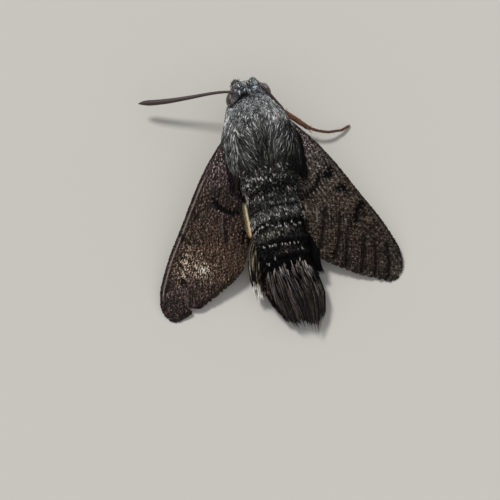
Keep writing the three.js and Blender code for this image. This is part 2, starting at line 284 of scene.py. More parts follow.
def closed_tube(rings):
    """Points and triangles of rings (rows, columns, 3) with flat ends."""
    rows, columns, _ = rings.shape
    points = np.concatenate([rings.reshape(-1, 3), rings[:1].mean(1), rings[-1:].mean(1)])
    return points, tube_faces(rows, columns)


def tube_map(rows, columns, low=(0, 0), high=(1, 1)):
    """The place of each of a closed tube's points on an unwrap of its side."""
    i, j = np.meshgrid(np.linspace(0, 1, rows), np.arange(columns) / columns, indexing="ij")
    flat = np.stack([j.ravel(), i.ravel()], -1)
    flat = np.concatenate([flat, [[0.5, 0], [0.5, 1]]])
    return np.array(low) + flat * (np.array(high) - np.array(low))


NEARLY_UP = (0.05, 0.1, 1.0)  # no limb runs this way, so it tells a tube's sides apart


def path_tube(path, radii, sides, steps, swelling=None):
    """A round tube along a smooth path, with its ends drawn in."""
    share = np.linspace(0, 1, steps)
    middle = path_through(path)(share)
    radius = evenly_through(radii)(share)
    if swelling is not None:
        radius = radius * swelling(share)
    along = unit(np.gradient(middle, axis=0))
    side = unit(np.cross(along, NEARLY_UP))
    up = np.cross(side, along)
    angle = np.arange(sides) * 2 * np.pi / sides
    out = side[:, None] * np.cos(angle)[None, :, None] + up[:, None] * np.sin(angle)[None, :, None]
    rings = middle[:, None] + out * radius[:, None, None]
    first = middle[:1, None] + out[:1] * radius[0] * 0.5 - along[:1, None] * radius[0] * 0.6
    last = middle[-1:, None] + out[-1:] * radius[-1] * 0.5 + along[-1:, None] * radius[-1] * 0.6
    return np.concatenate([first, rings, last])


def join(parts):
    """One set of points, triangles and further values for each point out of several."""
    points, faces, start = [], [], 0
    for part in parts:
        points.append(part[0])
        faces.append(part[1] + start)
        start += len(part[0])
    further = [np.concatenate([part[k] for part in parts]) for k in range(2, len(parts[0]))]
    return [np.concatenate(points), np.concatenate(faces), *further]


# ---- Coats: tufts and flat scales, each a small closed solid ----

PATCH = 0.003  # the size of each tuft's patch on the bake map
LOWEST = 0.02  # no hair or scale comes nearer to the floor than this


def tufts(spines, ups, widths, tones, roots, shape=(0.55, 1.0, 0.75), thickness=0.5):
    """Three-sided tufts that narrow to a tip.

    Each has four places in spines and four colours in tones, from root to tip, and one place in roots on
    the bake map."""
    count = len(spines)
    way = unit(spines[:, 3] - spines[:, 0])
    up = across_normal(ups, way)
    side = np.cross(way, up)
    half = widths[:, None] / 2 * np.array(shape)
    points = np.empty((count, 10, 3))
    for k in range(3):
        points[:, 3 * k] = spines[:, k] + side * half[:, k, None]
        points[:, 3 * k + 1] = spines[:, k] + up * half[:, k, None] * 2 * thickness
        points[:, 3 * k + 2] = spines[:, k] - side * half[:, k, None]
    points[:, 9] = spines[:, 3]
    faces = [(0, 1, 2)]
    for k in (0, 3):
        for a, b in ((0, 1), (1, 2), (2, 0)):
            faces += [(k + a, k + 3 + a, k + 3 + b), (k + a, k + 3 + b, k + b)]
    faces += [(6, 9, 7), (7, 9, 8), (8, 9, 6)]
    rows = np.array([0, 0, 0, 1, 1, 1, 2, 2, 2, 3])
    columns = np.array([0, 1, 2, 0, 1, 2, 0, 1, 2, 1])
    patch = np.stack([columns / 2 - 0.5, rows / 3 - 0.5], -1) * PATCH
    return many(points, np.array(faces), tones[:, rows], roots[:, None] + patch)


def vanes(places, ways, ups, lengths, widths, tones, roots, lift=0.035):
    """Flat overlapping scales with a broad, slightly pointed end. tones are (count, 3)."""
    side = np.cross(ways, ups)
    root = places - ways * lengths[:, None] * 0.5
    end = places + ways * lengths[:, None] * 0.4
    half = side * widths[:, None] / 2
    points = np.stack(
        [
            root - ups * 0.012,
            end + half + ups * lift * 0.6,
            end - half + ups * lift * 0.6,
            end + ways * lengths[:, None] * 0.14 + ups * lift,
        ],
        1,
    )
    # Painted shade: each scale is darker at its root, under the scale that overlaps it.
    shade = np.array([0.55, 1, 1, 1.1])
    faces = np.array([(0, 1, 3), (0, 3, 2), (0, 2, 1), (1, 2, 3)])
    patch = np.array([(0, -0.5), (0.5, 0.3), (-0.5, 0.3), (0, 0.5)]) * PATCH
    return many(points, faces, tones[:, None] * shade[:, None], roots[:, None] + patch)


def straight(root, way, long):
    """The spines of straight hairs."""
    return np.stack([root + way * (long * k / 3)[:, None] for k in range(4)], 1)


def many(points, faces, tones, bake):
    """Joins like solids, given as (count, points each, ...), into one mesh's arrays."""
    count, each, _ = points.shape
    all_faces = faces[None] + (np.arange(count) * each)[:, None, None]
    return [points.reshape(-1, 3), all_faces.reshape(-1, 3), tones.reshape(-1, 3), bake.reshape(-1, 2)]


def add_coat(name, parts, look, replaces=()):
    points, faces, tones, bake = join(parts)
    points[:, 2] = np.maximum(points[:, 2], LOWEST)
    tones = np.clip(tones, 0.001, 1)
    make_piece(name, points, faces, look, replaces, tones, bake, smooth=False)


# ---- Materials ----


def principled(name, roughness, specular):
    look = bpy.data.materials.new(name)
    look.use_nodes = True
    shader = look.node_tree.nodes["Principled BSDF"]
    shader.inputs["Roughness"].default_value = roughness
    shader.inputs["Specular IOR Level"].default_value = specular
    return look, look.node_tree.nodes, look.node_tree.links, shader


def noise(nodes, links, size_mm, detail=2.0):
    """A noise texture whose grains are about size_mm across."""
    place = nodes.new("ShaderNodeTexCoord")
    texture = nodes.new("ShaderNodeTexNoise")
    texture.inputs["Scale"].default_value = 1 / (size_mm * MM)
    texture.inputs["Detail"].default_value = detail
    links.new(place.outputs["Object"], texture.inputs["Vector"])
    return texture.outputs["Fac"]


def rough_surface(nodes, links, shader, height, depth_mm, strength=0.6):
    bump = nodes.new("ShaderNodeBump")
    bump.inputs["Strength"].default_value = strength
    bump.inputs["Distance"].default_value = depth_mm * MM
    links.new(height, bump.inputs["Height"])
    links.new(bump.outputs["Normal"], shader.inputs["Normal"])


def marked_look(name, roughness, specular, grain_mm, contrast, bump_mm=0.02):
    """A finish whose colour is the piece's markings, broken up by a fine grain."""
    look, nodes, links, shader = principled(name, roughness, specular)
    markings = nodes.new("ShaderNodeAttribute")
    markings.attribute_name = "Markings"
    grain = noise(nodes, links, grain_mm)
    strength = nodes.new("ShaderNodeMapRange")
    ends = {"From Min": 0.3, "From Max": 0.7, "To Min": 1 - contrast, "To Max": 1 + contrast}
    for key, value in ends.items():
        strength.inputs[key].default_value = value
    links.new(grain, strength.inputs["Value"])
    scaled = nodes.new("ShaderNodeVectorMath")
    scaled.operation = "SCALE"
    links.new(markings.outputs["Color"], scaled.inputs[0])
    links.new(strength.outputs["Result"], scaled.inputs["Scale"])
    links.new(scaled.outputs["Vector"], shader.inputs["Base Color"])
    rough_surface(nodes, links, shader, grain, bump_mm)
    return look


# Each finish: its roughness, its shine, its grain's width in mm and how far the grain varies its colour.
LOOKS = {
    "skin": marked_look("moth_skin", 0.8, 0.1, 0.08, 0.5, bump_mm=0.06),
    "fur": marked_look("grey_fur", 0.6, 0.15, 0.25, 0.25),
    "rings": marked_look("ring_scales", 0.6, 0.05, 0.2, 0.3),
    "tail": marked_look("tail_hair", 0.55, 0.05, 0.3, 0.25),
    "wing": marked_look("wing_scales", 0.55, 0.06, 0.15, 0.3),
    "membrane": marked_look("wing_membrane", 0.6, 0.15, 0.1, 0.3),
    "leg": marked_look("leg_scales", 0.6, 0.35, 0.1, 0.3),
    "feeler": marked_look("feeler_scales", 0.5, 0.4, 0.08, 0.3),
}


def eye_look():
    """Dark, glossy and finely faceted."""
    look, nodes, links, shader = principled("eye", 0.27, 0.3)
    shader.inputs["Coat Weight"].default_value = 0.1
    shader.inputs["Coat Roughness"].default_value = 0.12
    depth = noise(nodes, links, 1.2, 1.0)
    ramp = nodes.new("ShaderNodeValToRGB")
    for stop, position, rgb in zip(ramp.color_ramp.elements, (0.4, 0.62), ((16, 9, 8), (48, 27, 20))):
        stop.position = position
        stop.color = (*colour(*rgb), 1)
    links.new(depth, ramp.inputs["Fac"])
    links.new(ramp.outputs["Color"], shader.inputs["Base Color"])
    place = nodes.new("ShaderNodeTexCoord")
    facets = nodes.new("ShaderNodeTexVoronoi")
    facets.feature = "SMOOTH_F1"
    facets.inputs["Scale"].default_value = 1 / (0.07 * MM)
    links.new(place.outputs["Object"], facets.inputs["Vector"])
    rough_surface(nodes, links, shader, facets.outputs["Distance"], -0.02, 0.5)
    return look


# ---- The body's shape ----


def rounded(share):
    return np.sign(share) * np.abs(share) ** (2 / BODY_SQUARENESS)


class Stretch:
    """A stretch of body told by rows of y, half width, top, under side and middle x."""

    def __init__(self, rows, ringed=False):
        self.start, self.end = rows[0][0], rows[-1][0]
        self.half_width, self.top, self.under, self.middle = columns_through(rows)
        self.ringed = ringed

    def flare(self, y):
        """How far the rings' overlapping edges stand out at y."""
        edges = np.array(SEGMENT_EDGES)
        i = np.clip(np.searchsorted(edges, y) - 1, 0, len(edges) - 2)
        share = (y - edges[i]) / (edges[i + 1] - edges[i])
        on_rings = (y > edges[0]) & (y < edges[-1])
        return np.where(on_rings, RING_FLARE * np.clip(share, 0, 1) ** 2, 0)

    def at(self, y, angle):
        out = self.flare(y) if self.ringed else 0
        middle_z = (self.top(y) + self.under(y)) / 2
        x = self.middle(y) + (self.half_width(y) + out) * rounded(np.cos(angle))
        z = middle_z + ((self.top(y) - self.under(y)) / 2 + out) * rounded(np.sin(angle))
        return np.stack([x, y, z], -1)

    def angle_of(self, points):
        y = points[:, 1]
        x = (points[:, 0] - self.middle(y)) / self.half_width(y)
        z = (points[:, 2] - (self.top(y) + self.under(y)) / 2) / (self.top(y) - self.under(y)) * 2
        squarer = [np.sign(v) * np.abs(v) ** (BODY_SQUARENESS / 2) for v in (z, x)]
        return np.arctan2(*squarer)

    def frame(self, y, angle):
        """Places on the surface, outward normals and how much area a step of y and angle covers."""
        y = np.clip(y, self.start, self.end)
        tiny = 0.01
        low, high = np.maximum(y - tiny, self.start), np.minimum(y + tiny, self.end)
        along = (self.at(high, angle) - self.at(low, angle)) / (high - low)[:, None]
        around = (self.at(y, angle + tiny) - self.at(y, angle - tiny)) / (2 * tiny)
        cross = np.cross(along, around)
        return self.at(y, angle), unit(cross), np.linalg.norm(cross, axis=-1)

    def map_place(self, y, angle):
        """The place on the skin's unwrap: round the body across the map and from head to tail up it."""
        return np.stack([(angle / (2 * np.pi)) % 1, (y - self.start) / (self.end - self.start)], -1)

    def scatter(self, count, low_y, high_y, low_angle, high_angle, keep=None):
        """About count places spread evenly over part of the surface."""
        spare = 3 * count
        a, b = even_shares(spare)
        y = low_y + (high_y - low_y) * a
        angle = low_angle + (high_angle - low_angle) * b
        points, normals, area = self.frame(y, angle)
        chance = area / np.percentile(area, 97)
        if keep is not None:
            chance = chance * keep(points, normals)
        kept = np.flatnonzero(rng.uniform(size=spare) < chance)[: count * 2]
        kept = kept[np.sort(rng.permutation(len(kept))[:count])]
        return y[kept], angle[kept]


ROOT_DEPTH = 0.05  # how far a tuft's root lies under the skin


def laid_spines(body, y, angle, comb, lengths, rises):
    """Tufts' spines that follow the body, combed by comb(points, normals), and their roots' normals."""
    here, normal, _ = body.frame(y, angle)
    first_normal = normal
    spines = [here - normal * ROOT_DEPTH]
    for share in (0.55, 0.9, 1.0):
        way = across_normal(comb(here, normal), normal)
        ahead = here + way * lengths[:, None] / 3
        stop = np.clip(ahead[:, 1], body.start + 0.02, body.end - 0.02)
        moved = np.stack([ahead[:, 0], stop, ahead[:, 2]], -1)
        here, normal, _ = body.frame(stop, body.angle_of(moved))
        spines.append(here + normal * rises[:, None] * share)
    return np.stack(spines, 1), first_normal


def strand_tones(tones, count, pale_share=0.3, dark=(0.12, 0.7), pale=(1.5, 3.0), fade=(0.3, 0.75, 1, 1.2)):
    """Each tuft's own strength: most dark and some pale, darker towards the root as painted shade among the
    hairs.
    """
    chosen = rng.uniform(size=count) < pale_share
    strength = np.where(chosen, rng.uniform(*pale, count), rng.uniform(*dark, count))
    # fade scales each tuft from root to tip; the darker roots are painted shade.
    return tones[:, None] * strength[:, None, None] * np.array(fade)[None, :, None]


def scrambled(i, j, seed):
    """A share from 0 to 1 that looks random, the same for the same whole numbers."""
    return np.abs(np.sin(i * 12.9898 + j * 78.233 + seed * 3.7) * 43758.5453) % 1


def lock_of(points, seed, across, long):
    """The lock of hair a place belongs to, as a column round the body and a row along it."""
    place = BODY.angle_of(points) * 3.3 + 0.12 * swell(points, 1.4, seed)
    column = np.floor(place / across)
    row = np.floor(points[:, 1] / long + scrambled(column, column * 0, seed))
    return column, row


def locks(points, seed, across=0.3, long=1.5, depth=0.55):
    """A strength that the strands of one lock share."""
    column, row = lock_of(points, seed, across, long)
    return np.exp(depth * (scrambled(column, row, seed + 1) - 0.5) * 3.4)


# ---- The body's markings, shared by skin and coat ----

# The back's colour from front to rear: y and a colour.
BACK_TONES = [
    (-3.0, (112, 112, 114)),
    (-1.6, (122, 125, 128)),
    (-0.9, (112, 113, 115)),
    (0.2, (136, 137, 138)),
    (1.6, (126, 126, 126)),
    (3.0, (104, 104, 103)),
    (5.8, (80, 80, 77)),
    (6.7, (52, 51, 48)),
    (7.3, (72, 71, 68)),
    (8.6, (76, 75, 72)),
    (9.1, (34, 33, 33)),
    (9.8, (44, 44, 43)),
    (11.0, (38, 38, 37)),
    (11.5, (76, 75, 74)),
    (12.8, (74, 73, 71)),
    (13.3, (28, 27, 27)),
    (14.2, (30, 29, 28)),
    (15.2, (18, 17, 17)),
    (15.6, (10, 10, 10)),
    (16.8, (16, 15, 15)),
    (17.3, (8, 8, 8)),
    (18.2, (14, 13, 13)),
    (19.5, (20, 19, 18)),
    (26.0, (30, 27, 25)),
]


# The cleft is a groove in the skin; the black painted along it in body_tones is painted shade.
CLEFT = [(0.7, -1.2), (1.5, -0.88), (2.6, -0.3)]  # between head and collar on the moth's left
CLEFT_LOW_Z, CLEFT_DEPTH = 4.4, 0.3
# Spots of painted shade in the hollows between the head's tufts, as places x, y.
HEAD_SHADE_SPOTS = [(0.8, -2.0), (-0.6, -1.25), (-1.1, -0.8), (0.7, -1.15), (1.0, -1.2), (1.3, -1.1)]
HEAD_TOP_Z = 4.2  # the marks of the head's top lie above this
RINGS_Y = 9  # the rings start here
# Patches on the rings' back: a colour, its middle, its reach and its strength.
RING_PATCHES = [
    ((66, 65, 61), (1.2, 10.2), (1.5, 0.5), 0.8),
    ((82, 81, 74), (1.1, 14.4), (1.7, 0.45), 0.85),
    ((62, 57, 55), (-0.7, 16.45), (1.1, 0.35), 0.7),
]


def ring_arch(x):
    """How far back the rings' edges lie at x: they arch backwards at the moth's left side."""
    return 0.085 * np.maximum(x, 0) ** 2 - 0.05 * x


def body_tones(points, normals):
    """The colour of skin and coat at places on the body."""
    x, y, z = points.T
    on_rings = y > RINGS_Y
    on_head_top = z > HEAD_TOP_Z
    place = np.where(on_rings, y - ring_arch(x), y)
    tones = blended(place, BACK_TONES)
    black = (7, 7, 7)
    # Painted shade: black lines just behind each join of thorax and rings, under the edge that overhangs
    # them.
    seam_shade = sum(np.exp(-(((place - edge - 0.1) / 0.2) ** 2)) for edge in SEGMENT_EDGES[:5])
    # Painted shade: the thorax's right side, away from the sun, is darker.
    right_side_shade = ease(-x, 0.6, 2.6) * ease(y, 1.5, 3.5) * (1 - ease(y, 5.5, 7))
    on_thorax = [
        ((42, 43, 36), spot(x, y, (0.4, 4.9), (1.2, 2.0))),
        ((56, 55, 56), right_side_shade * 0.6),
        # Painted shade: black at the thorax's far right side and its rear right corner.
        (black, spot(x, y, (-2.7, 7.7), (1.2, 1.3))),
        (black, ease(-x, 2.3, 3.2) * ease(y, 2.5, 5.0) * (y < 9.2) * 0.75),
        (black, spot(x, y, (2.0, 6.9), (0.9, 0.5)) * 0.7),
    ]
    on_head = [
        # Painted shade: black in the cleft behind the head, at its inner end and in the hollows between the
        # tufts.
        (black, near_line(x, y, CLEFT, 0.26) * on_head_top),
        (black, spot(x, y, (1.15, -1.15), (0.45, 0.28)) * on_head_top),
        *[(black, spot(x, y, hollow, (0.2, 0.13)) * on_head_top) for hollow in HEAD_SHADE_SPOTS],
        # Painted highlight: a bluish sheen on the crown.
        ((128, 138, 150), spot(x, y, (-0.5, -1.7), (0.6, 0.3)) * on_head_top * 0.5),
    ]
    patches = [(rgb, spot(x, place, middle, reach) * share) for rgb, middle, reach, share in RING_PATCHES]
    right_flank = (black, ease(-x, 1.8, 2.6) * (y > 12.8) * (y < 18) * 0.8)
    edges = (black, np.where(on_rings, np.minimum(seam_shade * 1.15, 1), 0))
    tones = overlaid(tones, [edges, *on_thorax, *on_head, *patches, right_flank])
    # Under side: pale throat and chest, then grey rings that darken to the rear.
    below = ease(-normals[:, 2], -0.25, 0.45)
    pale = mix(plain(len(x), 186, 182, 174), colour(104, 99, 93), ease(y, 6.5, 10))
    pale = mix(pale, colour(56, 52, 49), ease(y, 15.5, 18))
    return mix(tones, pale, below * 0.95)


BODY = Stretch(BODY_SKIN, ringed=True)


def add_body_skin():
    rows, columns = 190, 96
    y = BODY.start + (BODY.end - BODY.start) * np.linspace(0, 1, rows)
    angle = np.arange(columns) * -2 * np.pi / columns
    grid_y, grid_angle = [g.ravel() for g in np.meshgrid(y, angle, indexing="ij")]
    points, normals, _ = BODY.frame(grid_y, grid_angle)
    cleft = near_line(points[:, 0], points[:, 1], CLEFT, 0.25) * (points[:, 2] > CLEFT_LOW_Z)
    points = points - normals * (CLEFT_DEPTH * cleft)[:, None]
    rings = points.reshape(rows, columns, 3)
    points, faces = closed_tube(rings)
    normals = np.concatenate([normals, [[0, -1, 0], [0, 1, 0]]])
    tones = body_tones(points, normals) * SKIN_SHADE
    flesh = ["head", "thorax"] + [f"abdomen_{k}" for k in range(1, 6)]
    bake = tube_map(rows, columns)
    bake[:, 0] = (1 - bake[:, 0]) % 1
    make_piece("body_skin", points, faces, LOOKS["skin"], flesh, tones, bake)


# ---- The body's coats ----


def comb_thorax(points, normals):
    """Back along the body, drawn in towards the middle on top and fanned out a little at the sides."""
    x, y, _ = points.T
    ways = np.zeros_like(points)
    ways[:, 1] = 1
    draw = ease(y, 0.8, 3.0) * (1 - ease(np.abs(x), 2.3, 3.1)) * (1 - ease(y, 6.0, 7.2))
    ways[:, 0] = draw * (0.3 - x) * 0.42 + (1 - draw) * np.sign(x) * 0.12
    ways[:, 0] += swell(points, 1.1, 3) * 0.22
    ways[:, 2] = -0.1
    return ways


def coat_part(
    roots, comb, lengths, widths, rises, thin=0.5, tones=None, shape=(0.55, 1.0, 0.75), lock=None, **strands
):
    """Tufts over the body at roots (y, angle), coloured by the markings where each one's tip lies.

    lock is the seed, width, length and depth of the locks that share a strength."""
    y, angle = roots
    count = len(y)
    long = rng.uniform(*lengths, count)
    high = rng.uniform(*rises, count)
    spines, normals = laid_spines(BODY, y, angle, comb, long, high)
    middle = spines[:, 2]
    base = body_tones(middle, normals) if tones is None else tones(middle, normals)
    if lock is not None:
        base = base * locks(spines[:, 0], *lock)[:, None]
    shades = strand_tones(base, count, **strands)
    broad = rng.uniform(*widths, count)
    return tufts(spines, normals, broad, shades, BODY.map_place(y, angle), shape, thin)


def jittered(comb, amount, seed):
    """The comb with each tuft turned a little at random."""
    source = np.random.default_rng(seed)

    def ways(points, normals):
        base = across_normal(comb(points, normals), normals)
        if not hasattr(ways, "turn") or len(ways.turn) != len(points):
            ways.turn = source.normal(0, amount, len(points))
        return base + np.cross(base, normals) * ways.turn[:, None]

    return ways


def backward(points, normals):
    ways = np.zeros_like(points)
    ways[:, 1] = 1
    ways[:, 0] = np.sign(points[:, 0]) * 0.06
    return ways


def over(x, y):
    """Roots on the body's upper side over the places x, y."""
    share = np.clip((x - BODY.middle(y)) / BODY.half_width(y), -0.98, 0.98)
    return y, np.arccos(np.sign(share) * np.abs(share) ** (BODY_SQUARENESS / 2))


def clumped(spots, each, reach):
    """Places round each spot (x, y)."""
    places = np.repeat(np.array(spots, float), each, 0) + rng.normal(0, reach, (len(spots) * each, 2))
    return places.T


def collar_front(x):
    """How far forward the collar of short fur reaches."""
    return -1.3 + 0.115 * (x - 0.3) ** 2


TOP = (math.radians(-12), math.radians(192))
RING_SCALES = {"thin": 0.25, "shape": (0.6, 1, 0.95)}


def strands_grow(points, normals):
    """Where the thorax's long strands grow: further back at its sides than in the middle."""
    return points[:, 1] < 6.3 + 1.6 * ease(np.abs(points[:, 0] - 0.3), 1.2, 2.6)


def behind_front(points, normals):
    return points[:, 1] > collar_front(points[:, 0])


def add_thorax_coat():
    undercoat = coat_part(
        BODY.scatter(5600, 0.5, 8.6, *TOP),
        jittered(comb_thorax, 0.2, 1),
        lengths=(1.0, 1.8), widths=(0.1, 0.17), rises=(0.08, 0.35), lock=(51, 0.35, 1.3, 0.4),
        pale_share=0.12, dark=(0.12, 0.55), pale=(0.9, 1.6),
    )
    strands = coat_part(
        BODY.scatter(6200, 0.4, 8.0, *TOP, strands_grow),
        jittered(comb_thorax, 0.13, 2),
        lengths=(1.2, 2.4), widths=(0.09, 0.16), rises=(0.3, 0.62), lock=(61, 0.14, 1.7, 0.6),
        pale_share=0.34, dark=(0.08, 0.5), pale=(1.2, 2.6),
    )
    add_coat("thorax_fur", [undercoat, strands], LOOKS["fur"])
    collar = coat_part(
        BODY.scatter(6900, -1.3, 2.6, *TOP, behind_front),
        jittered(backward, 0.35, 2),
        lengths=(0.4, 0.8), widths=(0.09, 0.16), rises=(0.25, 0.6), lock=(71, 0.2, 0.4, 0.4),
        pale_share=0.4, dark=(0.15, 0.75), pale=(1.15, 1.9),
    )
    low = coat_part(
        BODY.scatter(3400, 0.0, 9.5, math.radians(192), math.radians(348)),
        jittered(backward, 0.2, 4),
        lengths=(1.0, 1.8), widths=(0.12, 0.2), rises=(0.1, 0.4), pale=(1.0, 1.4), dark=(0.6, 1.0),
    )
    add_coat("collar_and_chest_fur", [collar, low], LOOKS["fur"])


# Where pinkish white tufts stand beside the body: over the wing roots and along the rings' left side.
PALE_TUFTS_LEFT = [
    (3.0, 8.2), (2.5, 8.3), (2.8, 8.8), (2.6, 9.3), (2.9, 9.7), (2.7, 10.2), (2.6, 12.5), (2.75, 13.1),
]
PALE_TUFTS_RIGHT = [(-2.2, 8.7), (-2.5, 9.3), (-2.8, 9.1), (-1.8, 9.5), (-2.9, 11.6), (-3.0, 12.8)]


def shoulder_strands(side):
    """Long strands that stream back from the shoulder over the wing's root."""
    count = 700
    a, b = even_shares(count)
    root = np.stack([side * (3.55 - 0.5 * b), 2.6 + 4.0 * a, 5.0 + 2.0 * b - 0.25 * (a - 0.4)], -1)
    long = rng.uniform(1.8, 3.0, count)
    swing = rng.normal(0, 0.1, count)
    spines = []
    for share in (0, 0.35, 0.7, 1):
        x = root[:, 0] + side * (0.95 - 0.3 * b + swing) * share
        y = root[:, 1] + long * share
        u = (np.abs(x) - 3) * 0.47 + (y - 2.2) * 0.87
        over_wing = 5.55 - 0.225 * u + 0.1 * b + 0.15 * (1 - share)
        z = root[:, 2] * (1 - share) + over_wing * share + 0.35 * share * (1 - share)
        spines.append(np.stack([x, y, np.maximum(z, over_wing)], -1))
    spines = np.stack(spines, 1)
    ups = np.tile(unit(np.array([side * 0.5, 0.2, 1.0])), (count, 1))
    # The right shoulder's strands are near black: painted shade on the side away from the sun.
    base = np.tile(colour(52, 51, 50) if side == LEFT else colour(14, 13, 13), (count, 1))
    base = mix(base, colour(38, 31, 30), ease(spines[:, 3, 1], 6.5, 8.5) * (side == LEFT))
    base = base * locks(spines[:, 0], 81, 0.16, 1.5, 0.6)[:, None]
    tones = strand_tones(base, count, 0.33, (0.1, 0.5), (1.1, 2.0))
    places = BODY.map_place(root[:, 1], np.full(count, math.acos(side * 0.9)))
    return tufts(spines, ups, rng.uniform(0.09, 0.16, count), tones, places)


def add_rear_thorax_tufts():
    """Short bright scales over the thorax's rear edge, the shoulders' strands and pinkish white tufts."""
    rear = coat_part(
        BODY.scatter(2600, 6.7, 9.15, math.radians(15), math.radians(165)),
        jittered(backward, 0.8, 5),
        lengths=(0.35, 0.65), widths=(0.1, 0.16), rises=(0.35, 0.75), lock=(91, 0.2, 0.35, 0.9),
        pale_share=0.33, dark=(0.06, 0.4), pale=(1.6, 3.4),
    )
    parts = [rear, shoulder_strands(LEFT), shoulder_strands(RIGHT)]
    for spots, tone in ((PALE_TUFTS_LEFT, (184, 174, 174)), (PALE_TUFTS_RIGHT, (176, 162, 158))):
        x, y = clumped(spots, 22, 0.19)
        parts.append(
            coat_part(
                over(x, y),
                jittered(backward, 0.4, 12),
                lengths=(0.3, 0.6), widths=(0.07, 0.12), rises=(0.12, 0.45),
                tones=lambda points, normals, tone=tone: plain(len(points), *tone),
                pale_share=0.3, dark=(0.15, 0.6), pale=(0.9, 1.3),
            )
        )
    add_coat("thorax_rear_scales", parts, LOOKS["fur"])


# Pale tips on the rings' back, as places x, y: behind the thorax, then row by row to the tail's root.
PALE_TIPS = [
    (1.2, 9.6), (0.6, 9.55), (0.35, 9.5), (0, 9.5), (-0.4, 9.6), (-0.9, 9.5), (-1.5, 9.6),
    *[(x / 10, 11.1 + 0.0004 * x * x) for x in range(-24, 10, 7)],
    (1.4, 13.3), (0.1, 13.4), (0.05, 13.7), (-0.5, 13.6), (-0.55, 13.9), (-1.25, 13.5), (-1.5, 13.9),
    (-2.1, 13.8), (2.4, 13.8), (2.1, 13.6), (1.8, 13.5), (2.7, 14.2), (2.5, 14.0), (0.9, 13.5),
    (0.6, 13.8), (-0.1, 14.1), (2.1, 15.6), (1.5, 15.6), (1.2, 15.7), (0.9, 15.6), (0.2, 15.7),
    (-0.2, 15.75), (-0.6, 15.8), (-1.1, 15.8), (-1.5, 15.8), (-1.9, 16.6),
    (2.0, 17.5), (1.9, 17.6), (1.2, 17.0),
]


def add_abdomen_coat():
    scales = coat_part(
        BODY.scatter(9600, 9.2, 18.3, math.radians(-5), math.radians(185)),
        jittered(backward, 0.2, 6),
        lengths=(0.3, 0.55), widths=(0.1, 0.18), rises=(0.06, 0.22), lock=(95, 0.2, 0.3, 0.8),
        pale_share=0.24, dark=(0.14, 0.75), pale=(1.4, 2.5), **RING_SCALES,
    )
    x, y = clumped(PALE_TIPS, 6, 0.05)
    tips = coat_part(
        over(x, y - 0.2),
        jittered(backward, 0.3, 9),
        lengths=(0.25, 0.42), widths=(0.07, 0.11), rises=(0.22, 0.38), thin=0.3,
        tones=lambda points, normals: plain(len(points), 158, 156, 150),
        pale_share=0.6, dark=(0.1, 0.4), pale=(0.7, 1.4), fade=(0.2, 0.7, 1, 1.1),
    )
    add_coat("abdomen_scales_upper", [scales, tips], LOOKS["rings"])
    under = coat_part(
        BODY.scatter(4200, 9.0, 20.5, math.radians(180), math.radians(360)),
        jittered(backward, 0.16, 7),
        lengths=(0.45, 0.75), widths=(0.16, 0.24), rises=(0.06, 0.22),
        dark=(0.6, 1.0), pale=(1.0, 1.5), **RING_SCALES,
    )
    edges = [ring_edge(edge, seed) for seed, edge in enumerate(SEGMENT_EDGES[:5])]
    add_coat("abdomen_scales_lower_and_edges", [under, *edges], LOOKS["rings"])


# The colour of each ring's rear edge.
EDGE_TONES = [(60, 59, 57), (52, 51, 50), (20, 19, 19), (18, 17, 17), (10, 10, 10)]


def ring_edge(edge, index):
    """A row of longer scales that overhang the seam behind a ring, in scallops."""
    count = 560
    angle = np.linspace(math.radians(-10), math.radians(190), count)
    x = BODY.at(np.full(count, edge), angle)[:, 0]
    scallop = 0.09 * np.abs(np.sin(angle * 13))
    y = edge + ring_arch(x) + scallop - rng.uniform(0.35, 0.6, count)
    return coat_part(
        (y, angle),
        jittered(backward, 0.1, 20 + index),
        lengths=(0.38, 0.52), widths=(0.11, 0.18), rises=(0.16, 0.26),
        tones=lambda points, normals: plain(len(points), *EDGE_TONES[index]),
        lock=(30 + index, 0.25, 0.4, 0.7), pale_share=0.25, pale=(1.3, 2.2), dark=(0.3, 0.8),
        fade=(0.3, 0.5, 0.9, 1.2), **RING_SCALES,
    )


# ---- Long scales that flow along a form: tail fan and side tufts ----


# How far back the tail's hairs reach across the fan, from the moth's right to its left.
TAIL_REACH = curve_through(
    [-1, -0.6, -0.2, 0.15, 0.5, 0.8, 0.9, 1], [24.3, 25.5, 25.2, 24.6, 24.8, 24.5, 24.0, 22.4]
)
# Where locks of the tail's hair start pale, as places x, y at its root.
TAIL_CLUMPS = [
    (1.4, 18.6), (1.0, 18.5), (0.6, 18.2), (0.2, 18.6), (-0.3, 18.0), (-0.5, 18.5), (-0.9, 18.3),
    (-1.3, 18.6), (-1.6, 18.2), (-1.9, 18.5), (-2.2, 18.5), (-2.6, 18.8), (1.8, 18.9), (-2.4, 19.3),
]


